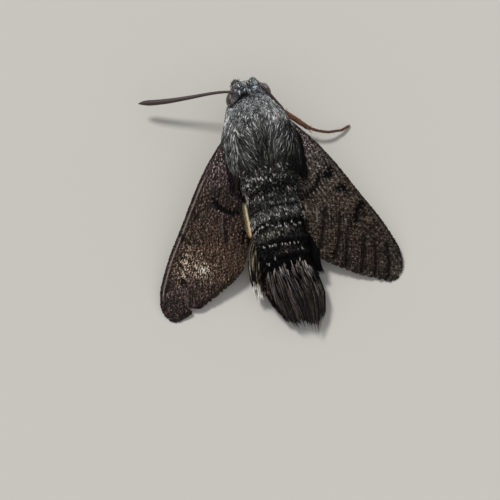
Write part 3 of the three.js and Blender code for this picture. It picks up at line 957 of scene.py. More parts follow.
def add_tail_hair():
    half_width, top, under, middle = columns_through(TAIL_FAN)

    def place(across, layer, y):
        x = middle(y) + half_width(y) * across
        bulge = np.sqrt(np.maximum(1 - np.abs(across) ** 2.4, 0))
        centre = (top(y) + under(y)) / 2
        z = centre + (top(y) - under(y)) / 2 * (2 * layer - 1) * bulge
        return np.stack([x, y, z], -1)

    def across_at(x, y):
        """How far x is across the fan, from -1 at the moth's right to 1 at its left."""
        return np.clip((x - middle(y)) / half_width(y), -1, 1)

    def hairs(across, layer, start, long, turn, short, widths, base, fade, **strands):
        """Hairs from places across the fan. turn is how far each drifts and short what its end lacks."""
        count = len(across)
        end = np.minimum(start + long, TAIL_REACH(across) - short)
        start = np.minimum(start, end - 0.4)
        lean = np.clip(across + turn + 0.16 * ease(across, 0.2, 0.9), -1.05, 1.2)
        drift, reach = lean - across, end - start
        spines = [place(across + drift * k / 3, layer, start + reach * k / 3) for k in range(4)]
        spines[3][:, 2] += rng.normal(0, 0.08, count)
        spines = np.stack(spines, 1)
        spines[:, 0, 2] -= 0.3
        ups = unit(np.stack([across * 0.6, np.full(count, 0.35), 2 * layer - 0.95], -1))
        tones = strand_tones(base, count, fade=fade, **strands)
        roots = BODY.map_place(np.minimum(start, BODY.end), np.arctan2(2 * layer - 1, across))
        return tufts(spines, ups, rng.uniform(*widths, count), tones, roots, (0.7, 1, 0.7), 0.4)

    def dense(count, first_y, layers, long, base):
        """Dark hair that fills the fan."""
        a, b = even_shares(count)
        across = np.clip((2 * a - 1) + rng.normal(0, 0.02, count), -1, 1)
        layer = layers[0] + (layers[1] - layers[0]) * b
        start = rng.uniform(*first_y, count)
        short = 1.5 * scrambled(np.floor(across * 14), 0 * across, 2) ** 2 + rng.uniform(0, 1.0, count) ** 2
        patch = scrambled(np.floor(across * 24), np.floor(start), 8)
        tones = plain(count, *base) * np.exp(1.6 * (patch - 0.5))[:, None]
        reach = rng.uniform(*long, count)
        turn = rng.normal(0, 0.05, count)
        return hairs(
            across, layer, start, reach, turn, short, (0.1, 0.17), tones, (0.6, 1.0, 1.0, 0.7),
            pale_share=0.15, dark=(0.25, 0.9), pale=(1.5, 2.6),
        )

    def streaks(count, each, first_y, long, shades, lift, width, less=0.0):
        """Locks of hairs that lie close together over the dark ones, each lock in one shade."""
        lock_across = rng.uniform(-0.97, 0.97, count)
        lock_start = rng.uniform(*first_y, count)
        lock_long = rng.uniform(*long, count)
        lock_turn = rng.normal(0, 0.05, count)
        lock_short = rng.uniform(0, 1.4, count) + less
        lock_tone = np.array([colour(*shades(share)) for share in lock_across])
        lock_tone = lock_tone * np.exp(rng.normal(0, 0.35, count))[:, None]
        which = np.repeat(np.arange(count), each)
        size = len(which)
        across = np.clip(lock_across[which] + rng.normal(0, width, size), -1, 1)
        start = lock_start[which] + rng.normal(0, 0.15, size)
        layer = 1 + rng.uniform(0, lift, size)
        short = lock_short[which] + rng.uniform(0, 0.4, size)
        reach = lock_long[which] * rng.uniform(0.8, 1.1, size)
        return hairs(
            across, layer, start, reach, lock_turn[which], short, (0.055, 0.095), lock_tone[which],
            (0.8, 1.2, 1.1, 0.8), pale_share=0.5, dark=(0.2, 0.8), pale=(1.1, 3.0),
        )

    def streak_shade(across):
        kind = rng.uniform()
        if across > 0.05 and kind < 0.45:
            return 64, 50, 44
        if -0.8 < across < 0.05 and kind < 0.4:
            return 68, 65, 54
        return 62, 59, 57

    parts = [
        dense(3600, (17.4, 20.5), (0.35, 1.0), (3.0, 5.6), (15, 13, 12)),
        dense(1500, (20.5, 22.8), (0.3, 0.97), (2.5, 4.5), (13, 12, 11)),
        dense(1500, (17.6, 21.5), (0.0, 0.3), (2.0, 4.0), (44, 39, 36)),
        streaks(100, 4, (18.3, 21.8), (1.8, 4.5), streak_shade, 0.16, 0.007),
        streaks(130, 2, (20.0, 22.5), (3.5, 6.0), lambda share: (40, 36, 33), 0.25, 0.02, -1.1),
    ]
    x, y = clumped(TAIL_CLUMPS, 4, 0.26)
    count, each = len(x), 3
    size = count * each
    x = np.repeat(x, each) + rng.normal(0, 0.03, size)
    y = np.repeat(y, each) + rng.normal(0, 0.08, size)
    across = across_at(x, y)
    long = np.repeat(rng.uniform(0.5, 1.6, count), each) * rng.uniform(0.8, 1.1, size)
    turn = np.repeat(rng.normal(0, 0.04, count), each)
    layer = rng.uniform(1.02, 1.14, size)
    tone = plain(size, 124, 118, 114) * np.repeat(np.exp(rng.normal(-0.2, 0.6, count)), each)[:, None]
    pale_locks = hairs(
        across, layer, y - 0.2, long, turn, 0 * x, (0.05, 0.09), tone, (0.8, 1.5, 0.9, 0.3),
        pale_share=0.5, dark=(0.3, 0.8), pale=(0.9, 1.7),
    )
    # Black hair between the last ring's scales and the pale locks.
    x, y = clumped([(-0.6, 17.8), (0.6, 17.6), (1.6, 17.9), (-1.8, 17.8)], 120, 0.45)
    size = len(x)
    across = across_at(x, y)
    layer = rng.uniform(0.95, 1.02, size)
    long = rng.uniform(0.6, 1.2, size)
    black_hair = hairs(
        across, layer, y, long, 0 * x, 0 * x, (0.1, 0.16), plain(size, 16, 14, 14), (0.7, 1.0, 1.0, 0.8),
        pale_share=0.1, pale=(1.2, 1.8),
    )
    parts += [pale_locks, black_hair]
    add_coat("tail_hair", parts, LOOKS["tail"], ["tail_fan"])


def add_flank_tufts():
    """Ragged side tufts: on the left black with cream strands and white hair behind, on the right black."""
    for side, name in SIDES:
        splay = 0.1 if side == LEFT else 0.6
        path = [(2.3, 14.2, 3.0), (2.75, 15.6, 2.7), (3.15, 17.2, 2.3), (3.3, 18.6, 1.9)]
        path.append((3.3 + splay, 20.0, 1.4))
        centre_line = path_through(np.array(path) * [side, 1, 1])
        radius = evenly_through([0.45, 0.75, 0.85, 0.75, 0.6])
        count = 3300
        a, b = even_shares(count)
        turn = 2 * np.pi * a
        depth = np.sqrt(0.1 + 0.9 * b)
        out = np.stack([np.cos(turn), np.zeros_like(turn), np.sin(turn)], -1)
        start = rng.uniform(0, 0.72, count)
        column, row = np.floor(turn * 7 + 2 * start), np.floor(start * 4)
        shares = [scrambled(column, row, seed + side) for seed in (11, 12, 13)]
        ragged = 0.16 if side == LEFT else 0.26
        stretch = np.minimum(rng.uniform(0.2, 0.4, count), 1.0 - start - ragged * shares[0])
        ups = unit(np.stack([np.cos(turn), np.full(count, 0.2), np.sin(turn)], -1))
        black = colour(22, 20, 20) if side == LEFT else colour(11, 10, 10)
        base = np.tile(black, (count, 1)) * np.exp((shares[1] - 0.5) * 1.5)[:, None]
        pale_share = 0.12
        if side == LEFT:
            cream = (shares[2] > 0.66) * (np.sin(turn) > 0.05)
            base = mix(base, colour(136, 126, 106), cream * 0.7)
            pale_share = 0.25
        below = ease(-np.sin(turn), 0.1, 0.8)
        base = mix(base, colour(190, 184, 174), below * (start > 0.3) * (0.7 if side == LEFT else 0.12))
        tones = strand_tones(base, count, pale_share, (0.3, 0.9), (1.2, 2.0), (0.7, 1, 1, 0.9))
        spines = []
        for k in range(4):
            share = start + stretch * k / 3
            spines.append(centre_line(share) + out * (depth * radius(share))[:, None])
        spines = np.stack(spines, 1)
        roots = BODY.map_place(spines[:, 0, 1], (0.1 if side == LEFT else np.pi - 0.1) + turn * 0.02)
        parts = [tufts(spines, ups, rng.uniform(0.09, 0.17, count), tones, roots, (0.6, 1, 0.7))]
        if side == LEFT:
            parts.append(side_hairs())
        add_coat(f"flank_hair_{name}", parts, LOOKS["tail"], [f"flank_tuft_{name}"])


def side_hairs():
    """Hair between the left side tuft and the tail: white from under the abdomen, mixed strands over it."""
    parts = []
    mixed = [(120, 110, 92), (16, 14, 14), (80, 56, 48), (20, 18, 18)]
    for count, first_x, first_y, first_z, long, shades in (
        (800, (1.0, 3.9), (18.7, 19.5), (1.5, 2.3), (1.1, 1.8), [(236, 231, 222)]),
        (420, (1.5, 3.4), (17.2, 18.9), (2.0, 3.0), (1.2, 2.2), mixed),
    ):
        a, b = even_shares(count)
        root_x = first_x[0] + (first_x[1] - first_x[0]) * a
        root_y = first_y[0] + (first_y[1] - first_y[0]) * b
        root_z = rng.uniform(*first_z, count) - 0.25 * np.maximum(root_x - 2.4, 0) * (first_z[0] > 1.5)
        root = np.stack([root_x, root_y, root_z], -1)
        lock = np.floor(a * 30)
        reach = rng.uniform(*long, count) * (0.6 + 0.7 * scrambled(lock, lock * 0, 4))
        drift = rng.normal(0, 0.07, count) + 0.35 * (scrambled(lock, lock, 8) - 0.5)
        way = unit(np.stack([drift + 0.05, 1 + 0 * a, -0.3 + 0 * a], -1))
        spines = straight(root, way, reach)
        shade = np.array([colour(*rgb) for rgb in shades])
        base = shade[np.floor(scrambled(lock, np.floor(b * 3), 6) * len(shades)).astype(int)]
        tones = strand_tones(base, count, 0.5, (0.25, 0.7), (0.9, 1.15))
        ups = np.tile([0, 0.3, 1.0], (count, 1))
        place = BODY.map_place(root_y, 0.05 + 0.1 * a)
        parts.append(tufts(spines, ups, rng.uniform(0.08, 0.13, count), tones, place))
    return join(parts)


# ---- Head ----


def ellipsoid(centre, radii, rows, columns):
    polar = np.linspace(0.06, np.pi - 0.06, rows)
    angle = np.arange(columns) * 2 * np.pi / columns
    polar, angle = np.meshgrid(polar, angle, indexing="ij")
    out = np.stack([np.sin(polar) * np.cos(angle), np.sin(polar) * np.sin(angle), np.cos(polar)], -1)
    return centre + out[:, ::-1] * radii


def turned(ways):
    """Ways on the straight head, turned as the head is."""
    c, s = math.cos(HEAD_TURN), math.sin(HEAD_TURN)
    return ways @ np.array([[c, s, 0], [-s, c, 0], [0, 0, 1]])


def on_neck(points):
    """Places on the straight head, turned and moved as the head is."""
    return turned(points) + [HEAD_SHIFT, 0, 0]


def egg(form, side, back=0.0):
    """The middle and radii of an eye or palp on the straight head."""
    middle = np.array([side * form["x"], form["y"] + back, form["z"]])
    return middle, np.array([form["rx"], form["ry"], form["rz"]])


def add_eyes():
    look = eye_look()
    rows, columns = 60, 72
    for side, name in SIDES:
        points, faces = closed_tube(on_neck(ellipsoid(*egg(EYE, side), rows, columns)))
        bake = tube_map(rows, columns)
        make_piece(f"eye_{name}_lens", points, faces, look, [f"eye_{name}"], bake=bake)


def comb_head(points, normals):
    """Up and back over the crown, outwards round the face and down the cheeks."""
    x, y, _ = points.T
    crown = ease(y, -2.1, -1.5)
    ways = np.zeros_like(points)
    ways[:, 1] = crown * 1.0 - (1 - crown) * 0.9
    ways[:, 0] = np.sign(x) * 0.2 * (1 - crown)
    ways[:, 2] = 0.25 * (1 - crown)
    return ways


def clear_of_eyes(points, normals):
    """0 on the eyes and in the cleft behind the head, and 1 elsewhere."""
    x, y, z = points.T
    cleft = near_line(x, y, CLEFT, 0.2) * (z > HEAD_TOP_Z)
    c, s = math.cos(HEAD_TURN), math.sin(HEAD_TURN)
    x = x - HEAD_SHIFT
    x, y = x * c + y * s, y * c - x * s
    inside = ((np.abs(x) - EYE["x"]) / (EYE["rx"] * 0.96)) ** 2 + ((y - EYE["y"]) / (EYE["ry"] * 0.9)) ** 2
    inside += ((z - EYE["z"]) / (EYE["rz"] * 0.9)) ** 2
    return (inside > 1) * (1 - cleft)


def add_head_coat():
    fur = coat_part(
        BODY.scatter(4800, -2.33, 0.1, 0, 2 * np.pi, clear_of_eyes),
        jittered(comb_head, 0.5, 8),
        lengths=(0.3, 0.65), widths=(0.07, 0.12), rises=(0.15, 0.6), lock=(41, 0.22, 0.35, 0.6),
        pale_share=0.36, dark=(0.15, 0.7), pale=(1.2, 2.4),
    )
    parts = [fur, face_scales(), brow_tufts(LEFT), brow_tufts(RIGHT), *palp_parts()]
    add_coat("head_fur", parts, LOOKS["fur"], ["palp_left", "palp_right"])


def brow_tufts(side):
    """Hair that lies out over the top of an eye and leaves only its outer part bare, with a whitish rim."""
    count = 760
    a, b = even_shares(count)
    x, y = -0.95 + 1.32 * a, -0.95 + 1.85 * b
    inside = np.hypot(x, y) < 0.93
    x, y = x[inside], y[inside]
    count = len(x)
    centre, radii = egg(EYE, side)
    turn = rng.normal(0.75, 0.3, count)
    long = rng.uniform(0.28, 0.45, count)
    spines = []
    for k in range(4):
        out_x, out_y = x + long * np.cos(turn) * k / 3, y + long * np.sin(turn) * k / 3
        length = np.hypot(out_x, out_y)
        shrink = np.minimum(1, 0.97 / np.maximum(length, 0.01))
        out_x, out_y = out_x * shrink, out_y * shrink
        out = np.stack([side * out_x, out_y, np.sqrt(1 - out_x**2 - out_y**2)], -1)
        spines.append(centre + out * radii * (1.0 + 0.045 * k))
    spines = on_neck(np.stack(spines, 1))
    ups = turned(unit(np.stack([side * x, y, 0.6 + 0 * x], -1)))
    base = plain(count, 104, 105, 107) * locks(spines[:, 0], 43, 0.2, 0.3, 0.5)[:, None]
    rim = ease(x, 0.0, 0.3) * (0.8 if side == LEFT else 0.35)
    base = mix(base, colour(150, 143, 138), rim * 0.85)
    tones = strand_tones(base, count, 0.35, (0.2, 0.7), (1.0, 1.7))
    places = BODY.map_place(spines[:, 0, 1], np.full(count, 0.5))
    return tufts(spines, ups, rng.uniform(0.07, 0.11, count), tones, places)


def face_scales():
    """Scales on the blunt front of the head, which point forwards and up."""
    count = 1300
    a, b = even_shares(count)
    turn, depth = 2 * np.pi * a, np.sqrt(b)
    centre = np.array([0.1, -2.15, 4.45])
    root = centre + np.stack([1.2 * depth * np.cos(turn), 0.05 + 0 * turn, 0.7 * depth * np.sin(turn)], -1)
    root[:, 1] += 0.25 * (root[:, 0] - centre[0]) ** 2
    way = unit(np.stack([0.5 * np.cos(turn) * depth, -0.8 + 0 * turn, 0.4 + 0.3 * np.sin(turn) * depth], -1))
    way = unit(way + rng.normal(0, 0.22, (count, 3)))
    notch = np.exp(-(((root[:, 0] - 0.8) / 0.22) ** 2))
    long = rng.uniform(0.35, 0.8, count) * (1 - 0.7 * notch)
    spines = straight(root, way, long)
    ups = unit(np.stack([np.cos(turn), 0 * turn, np.sin(turn)], -1))
    base = mix(plain(count, 150, 146, 140), colour(100, 100, 101), ease(root[:, 2], 4.4, 4.9))
    # Painted shade: the scales in the notch between the head's front bumps are darker.
    base = base * (1 - 0.85 * notch * (root[:, 2] > 4.4))[:, None]
    tones = strand_tones(base, count, 0.4, (0.3, 0.8), (1.2, 2.0))
    return tufts(spines, ups, rng.uniform(0.07, 0.12, count), tones, BODY.map_place(root[:, 1], turn))


def palp_parts():
    """Each palp as a core and its scales, white below and grey and ragged above."""
    parts = []
    for side, back in ((LEFT, 0.0), (RIGHT, 0.3)):
        centre, radii = egg(PALP, side, back)
        core, faces = closed_tube(on_neck(ellipsoid(centre, radii * 0.85, 14, 16)))
        core_map = tube_map(14, 16, (0.4, 0.0), (0.46, 0.05))
        parts.append([core, faces, plain(len(core), 90, 88, 86) * 0.4, core_map])
        count = 1300
        a, b = even_shares(count)
        height = 2 * a - 1
        turn = 2 * np.pi * b
        flat = np.sqrt(1 - height**2)
        out = np.stack([flat * np.cos(turn), flat * np.sin(turn), height], -1)
        root = centre + out * radii * 0.85
        normal = unit(out / radii)
        rising = ease(-height, -0.9, 0.2)[:, None]
        lie = np.array([side * 0.15, -0.9, 0.25]) * (1 - rising) + np.array([side * 0.1, -0.35, 1.0]) * rising
        clump = scrambled(np.floor(a * 20), np.floor(b * 18), 5)
        way = across_normal(lie, normal) + normal * 0.4
        way = unit(way + rng.normal(0, 0.3, (count, 3)))
        long = rng.uniform(0.2, 0.45, count) + 0.3 * clump * ease(height, 0, 0.5)
        spines = straight(root, way, long)
        base = mix(plain(count, 205, 200, 190), colour(70, 68, 67), ease(height, -0.3, 0.2))
        base = base * np.exp((clump - 0.5) * 2.0)[:, None]
        tones = strand_tones(base, count, 0.35, (0.2, 0.8), (1.2, 2.3))
        width = rng.uniform(0.07, 0.12, count)
        place = np.stack([0.4 + 0.06 * b, 0.05 * a], -1)
        parts.append(tufts(on_neck(spines), turned(normal), width, tones, place))
    return parts


def add_proboscis():
    t = np.linspace(0, 1, 15)
    angle = 2 * np.pi * t + np.pi / 3
    reach = PROBOSCIS["outer"] + (PROBOSCIS["inner"] - PROBOSCIS["outer"]) * t
    y, z = PROBOSCIS["y"] + reach * np.cos(angle), PROBOSCIS["z"] + reach * np.sin(angle)
    path = np.stack([0 * t, y, z], -1)
    radius = PROBOSCIS["radius"]
    rings = path_tube(path, [radius, radius, radius * 0.6], 12, 180, lambda s: 1 + 0.08 * np.sin(s * 500))
    points, faces = closed_tube(on_neck(rings))
    tones = plain(len(points), 70, 44, 26)
    bake = tube_map(len(rings), 12)
    make_piece("tongue", points, faces, LOOKS["feeler"], ["proboscis"], tones, bake)


# Each feeler from root to tip, and its radius on the way, as in the CAD but thinner.
ANTENNA_HELD_OUT = [
    (1.75, -1.55, 5.65), (2.8, -1.93, 5.4), (4.5, -2.17, 4.6), (6.6, -2.28, 3.75), (8.8, -2.42, 3.0),
    (10.7, -2.65, 2.45), (11.7, -2.83, 2.2), (12.25, -2.88, 2.1),
]
ANTENNA_FOLDED_BACK = [
    (-1.05, -1.85, 5.7), (-1.45, -1.35, 6.05), (-1.95, -0.5, 5.95), (-2.45, 0.3, 5.55), (-2.95, 1.0, 4.75),
    (-3.3, 1.75, 3.7), (-3.68, 2.9, 2.95), (-4.05, 4.4, 2.5), (-4.45, 6.2, 2.15), (-4.8, 7.9, 1.9),
]
ANTENNA_RADII = [0.13, 0.15, 0.17, 0.2, 0.25, 0.3, 0.32, 0.22, 0.05]
ANTENNA_JOINTS = 46


def add_antennae():
    """Feelers of short joints that thicken towards the end and narrow to a small hook."""

    def narrowed(share):
        """A little thinner between one joint and the next."""
        return 1 - 0.1 * np.abs(np.sin(share * ANTENNA_JOINTS * np.pi)) ** 8

    for name, path in (("left", ANTENNA_HELD_OUT), ("right", ANTENNA_FOLDED_BACK)):
        rings = path_tube(path, ANTENNA_RADII, 14, 420, narrowed)
        points, faces = closed_tube(rings)
        paler = 0.5 + 0.5 * np.sin(np.arctan2(points[:, 2] % 1, points[:, 1] % 1))
        tones = mix(plain(len(points), 48, 33, 33), colour(74, 56, 52), paler * 0.4)
        bake = tube_map(len(rings), 14)
        node = [f"antenna_{name}"]
        make_piece(f"feeler_{name}", points, faces, LOOKS["feeler"], node, tones, bake)


# ---- Wings ----

# The wings' outlines, as u from base to tip and v from front to rear in the wing's own plane.
FOREWING_FRONT = [
    (0, -0.3), (2, -0.8), (5, -1.45), (8, -1.78), (12, -1.98), (16, -2.2), (19, -2.08), (21.0, -1.55),
    (22.0, -0.85), (FOREWING_LENGTH, 0),
]
FOREWING_INNER = [(0, 0.4), (3, 1.55), (6, 2.85), (8, 3.9), (10, 5.0), (12, 5.85), (14.2, 6.25)]
FOREWING_OUTER = [
    (14.2, 6.25), (15.4, 5.9), (18.0, 4.45), (19.6, 3.4), (21.2, 2.05), (22.1, 1.1), (FOREWING_LENGTH, 0.4),
]
HINDWING_FRONT = [(3.4, 0.55), (9, 0.3), (13.5, 0.35), (15.8, 1.1), (16.8, 2.4)]
HINDWING_REAR = [
    (3.4, 1.75), (7.2, 3.95), (8.8, 4.85), (10.4, 5.8), (11.4, 6.0), (13, 5.6), (14.6, 4.9), (16.1, 3.7),
    (16.8, 2.9),
]
forewing_front, forewing_inner, forewing_outer, hindwing_front, hindwing_rear = [
    columns_through(outline)[0]
    for outline in (FOREWING_FRONT, FOREWING_INNER, FOREWING_OUTER, HINDWING_FRONT, HINDWING_REAR)
]


def forewing_rear(u):
    return np.where(u < TORNUS_U, forewing_inner(u), forewing_outer(u))


# steps are the spacing of the scales on the upper face, and fringe counts each layer's fringe scales.
FOREWING = {
    "kind": "forewing", "slot": "wing_scales", "steps": (0.12, 0.078), "fringe": 1500,
    "front": forewing_front, "rear": forewing_rear, "start": 0.0, "end": FOREWING_LENGTH, "below": 0.0,
}
HINDWING = {
    "kind": "hindwing", "slot": "hindwing_scales", "steps": (0.16, 0.11), "fringe": 600,
    "front": hindwing_front, "rear": hindwing_rear, "start": 3.4, "end": 16.8, "below": HINDWING_BELOW,
}
LOWER_STEPS = (0.17, 0.11)
SLIVER = (7.4, 11.1)  # the stretch of the left hindwing that shows beside the flank
MEMBRANE_SHADE = 0.6  # the membrane's tones against those of the scales over it

# Markings of the forewing: a line in its plane, how wide it is and how strong.
MARKS = {
    LEFT: [
        ([(8.0, 0.5), (8.6, 1.2), (8.8, 2.3), (8.6, 3.3)], 0.23, 1.0),
        ([(9.5, 2.15), (12.0, 3.2)], 0.14, 0.85),
        ([(6.7, 0.7), (7.4, 0.4), (8.0, 0.6)], 0.18, 0.6),
        ([(10.1, -0.95), (10.6, -0.8)], 0.22, 0.7),
        ([(12.9, -1.7), (13.3, -1.2)], 0.2, 0.8),
        ([(10.5, 4.8), (11.5, 5.0)], 0.22, 0.95),
        ([(17.7, 0.0), (17.9, 0.05)], 0.17, 0.95),
        ([(7.0, 3.2), (8.4, 3.5)], 0.2, 0.6),
    ],
    RIGHT: [
        ([(7.5, -0.75), (8.05, -0.45), (7.8, 0.15)], 0.25, 1.0),
        ([(7.4, 0.7), (7.9, 1.35)], 0.22, 0.95),
        ([(8.1, 1.9), (8.3, 2.5)], 0.24, 0.9),
        ([(8.3, 3.0), (8.5, 3.4)], 0.25, 0.8),
        ([(9.8, -0.15), (9.95, -0.75), (10.6, -0.75)], 0.2, 1.0),
        ([(12.9, -1.4), (13.2, -0.5), (14.0, 0.35)], 0.21, 1.0),
        ([(13.6, 0.9), (14.1, 1.3)], 0.2, 0.7),
        ([(6.2, -0.9), (6.9, -0.7)], 0.15, 0.6),
        ([(11.8, 2.2), (12.3, 2.5)], 0.2, 0.5),
    ],
}
# Folds between the veins that run from the wing's middle to its outer edge, sunk in shape and also painted
# dark as shade.
PLEATS = [
    [(12.2, 1.3), (14.5, 3.0), (16.0, 4.8)],
    [(14.0, 1.5), (16.2, 3.2), (18.1, 4.6)],
    [(16.0, 0.5), (18.0, 2.0), (19.8, 3.6)],
    [(17.6, 0.1), (19.5, 1.3), (21.0, 2.5)],
    [(18.3, -1.1), (20.2, -0.1), (21.8, 1.2)],
    [(10.8, 2.3), (12.6, 3.9), (14.2, 5.6)],
]
# On the right forewing.
PALE_STREAKS = [[(13.2, 1.15), (14.9, 2.2)], [(10.2, 3.1), (11.3, 3.8)], [(8.9, 3.6), (9.8, 4.2)]]
VEINS = [
    [(1, -0.5), (8, -1.45), (14, -1.65), (19, -1.7)],
    [(2, -0.4), (9, -1.0), (15, -0.95), (20.5, -0.6)],
    [(2, -0.2), (9, -0.3), (14, 0.1), (19, 0.6), (22.2, 1.0)],
    [(9, -0.3), (13, 0.7), (17, 1.9), (20, 3.4)],
    [(2, 0.1), (8, 0.9), (12, 2.2), (16, 4.0), (18.2, 4.6)],
    [(2, 0.3), (7, 1.6), (11, 3.6), (15.2, 5.9)],
]


def wing_axes(side):
    sweep = math.radians(WING_SWEEP_DEG[side])
    pitch = math.asin((WING_HINGE[2] - FOREWING_TIP_Z) / FOREWING_LENGTH)
    level = math.cos(pitch)
    along = np.array([side * math.sin(sweep) * level, math.cos(sweep) * level, -math.sin(pitch)])
    across = np.array([-side * math.cos(sweep), math.sin(sweep), 0])
    return along, across, np.cross(along, across) * side


def relief(wing, side, u, v):
    """How far veins stand up and pleats sink on a wing."""
    if wing is HINDWING:
        return 0.03 * np.sin(np.arctan2(v + 1, u) * 42)
    height = sum(near_line(u, v, line, 0.16) for line in VEINS) * 0.05
    depth = 0.14 if side == RIGHT else 0.05
    return height - sum(near_line(u, v, line, 0.35) for line in PLEATS) * depth


def wing_place(wing, side, u, v, lift=0.0):
    along, across, up = wing_axes(side)
    front = forewing_front(u)
    width = np.maximum(forewing_rear(u) - front, 0.01)
    share = np.clip((v - front) / width, 0, 1)
    height = CAMBER * width * 4 * share * (1 - share) - wing["below"] + MEMBRANE_LIFT
    height = height + relief(wing, side, u, v) + lift
    hinge = WING_HINGE * np.array([side, 1, 1])
    return hinge + u[..., None] * along + v[..., None] * across + height[..., None] * up


TEAR = {"u": 20.5, "width": 0.18, "depth": 0.95}  # a notch torn in the left forewing's outer edge


def torn(wing, side, u):
    """1 at the middle of the left forewing's notch and 0 away from it."""
    return np.exp(-(((u - TEAR["u"]) / TEAR["width"]) ** 2)) * (wing is FOREWING and side == LEFT)


def shown_rear(wing, side, u):
    """The membrane's rear edge, inside the fringe."""
    whole = wing["rear"](u) - FRINGE * ease(u, wing["start"] + 3, wing["end"] - 4) * 0.8
    return whole - TEAR["depth"] * torn(wing, side, u)


FOREWING_TONES = {
    LEFT: [
        (0, (58, 50, 50)), (6.5, (60, 51, 49)), (8.5, (48, 38, 34)), (12, (56, 44, 36)), (15.5, (62, 48, 39)),
        (18.5, (54, 44, 40)), (20.5, (44, 36, 36)),
    ],
    RIGHT: [
        (0, (69, 62, 59)), (6.5, (70, 64, 60)), (9.5, (61, 53, 47)), (14, (50, 42, 36)), (17, (42, 35, 31)),
        (20.5, (50, 44, 39)), (22, (58, 52, 47)),
    ],
}


def forewing_ground(u, v, side):
    """The forewing's ground colour, streaked along its length and mottled."""
    base = blended(u, FOREWING_TONES[side])
    flat = np.stack([u, v], -1)
    along = np.stack([u * 0.22, v - 0.55 * np.maximum(u - 10, 0) * ease(v, -1.5, 1.0)], -1)
    streaks = 0.5 * swell(along, 0.3, 21 + side) + 0.16 * swell(flat, 1.6, 31 + side)
    fine = swell(flat * np.array([0.6, 1.0]), 0.27, 51 + side)
    mottles = 0.55 * swell(flat, 0.5, 41 + side) + 0.5 * fine - 0.1
    if side == LEFT:
        base = base * (1 + 0.35 * spot(u, v, (14.5, 3.4), (3.4, 2.0)))[:, None]
    return base * np.exp(streaks + mottles)[:, None]


def marked(u, v, side, base):
    """The forewing's veins, edges, painted shade in its folds and black marks over its ground."""
    flat = np.stack([u, v], -1)
    front = v - forewing_front(u)
    base = mix(base, colour(34, 25, 24), np.exp(-((front / 0.28) ** 2)) * 0.9)
    pale_line = np.exp(-(((front - 0.4) / 0.065) ** 2)) * ease(u, 5, 7)
    if side == LEFT:
        rim = ease(v - shown_rear(FOREWING, side, u), -0.5, -0.15)
        layers = [
            # The left costa's pale line is brighter than the right's: partly the wing's own colour and partly
            # a painted glint.
            ((156, 139, 134), pale_line * (1 - ease(u, 19.5, 21)) * 0.85),
            ((20, 15, 15), np.exp(-(((front - 0.62) / 0.13) ** 2)) * ease(u, 5, 7) * 0.75),
            ((18, 14, 14), spot(u, v, (7.2, 1.9), (0.9, 1.2)) * 0.65),
            ((120, 106, 98), near_line(u, v, [(8.9, 1.9), (11.2, 2.5)], 0.14) * 0.6),
            ((100, 90, 88), near_line(u, v, [(18.6, 0.5), (20.6, 1.6)], 0.1) * 0.7),
            ((22, 16, 15), rim * ease(u, 14, 16) * 0.7),
        ]
    else:
        layers = [
            ((86, 74, 66), pale_line * ease(u, 13, 15) * (1 - ease(u, 18, 19)) * 0.6),
            ((60, 40, 33), spot(u, v, (19.0, 1.2), (1.2, 1.0)) * 0.4),
            *[((132, 120, 110), near_line(u, v, line, 0.09) * 0.7) for line in PALE_STREAKS],
        ]
    base = overlaid(base, layers)
    black = colour(3, 3, 3)
    for line, width, strength in MARKS[side]:
        ragged = 1.3 * width * np.exp(0.6 * swell(flat, 0.3, 61))
        base = mix(base, black, ease(near_line(u, v, line, ragged), 0.25, 0.45) * strength)
    # Painted shade in the folds: strong on the right forewing and faint on the left.
    for line in PLEATS:
        base = mix(base, colour(9, 8, 7), near_line(u, v, line, 0.26) * (0.92 if side == RIGHT else 0.2))
    return base


def forewing_tones(u, v, side, upper=True, flecks=False):
    """The forewing's colours and markings."""
    if not upper:
        base = mix(plain(len(u), 176, 104, 48), colour(96, 66, 48), ease(u, 13, 20))
        base = mix(base, colour(150, 128, 100), spot(u, v, (4, 1), (4, 2)) * 0.5)
        return mix(base, colour(44, 33, 30), np.exp(-(((v - forewing_front(u)) / 0.5) ** 2)))
    base = forewing_ground(u, v, side)
    if flecks:
        base = flecked(u, v, side, base * np.exp(rng.normal(-0.1, 0.36, len(u)))[:, None])
    return marked(u, v, side, base)


def on_sliver(u, side):
    return (u > SLIVER[0]) & (u < SLIVER[1]) & (side == LEFT)


def hindwing_tones(u, v, side, upper=True):
    """Orange with a dark rear border, and cream on the sliver that shows at the left."""
    base = blended(u, [(3, (120, 92, 60)), (6, (196, 116, 48)), (13.3, (196, 116, 48)), (15.2, (78, 50, 34))])
    if upper:
        base = mix(base, colour(255, 228, 180), np.minimum(2 * spot(u, v, (9.0, 4.5), (1.8, 1.8)), 1))
        border = ease(v - hindwing_rear(u), -2.8, -2.0)
        if side == LEFT:
            border = border * (1 - ease(u, SLIVER[0], 7.8) * (1 - ease(u, 10.7, SLIVER[1])))
        base = mix(base, colour(30, 25, 24), border * 0.95)
    return base


def wing_tones(wing, u, v, side, upper=True):
    return (forewing_tones if wing is FOREWING else hindwing_tones)(u, v, side, upper)


def wing_map(wing, u, v, upper):
    """The place on the wing's unwrap: the upper face in one half of the map and the lower in the other."""
    along = (u - wing["start"]) / (wing["end"] - wing["start"])
    across = (v + 2.4) / 9
    half = 0.0 if upper else 0.5
    return np.stack([0.02 + 0.96 * along, half + 0.02 + 0.46 * across], -1)


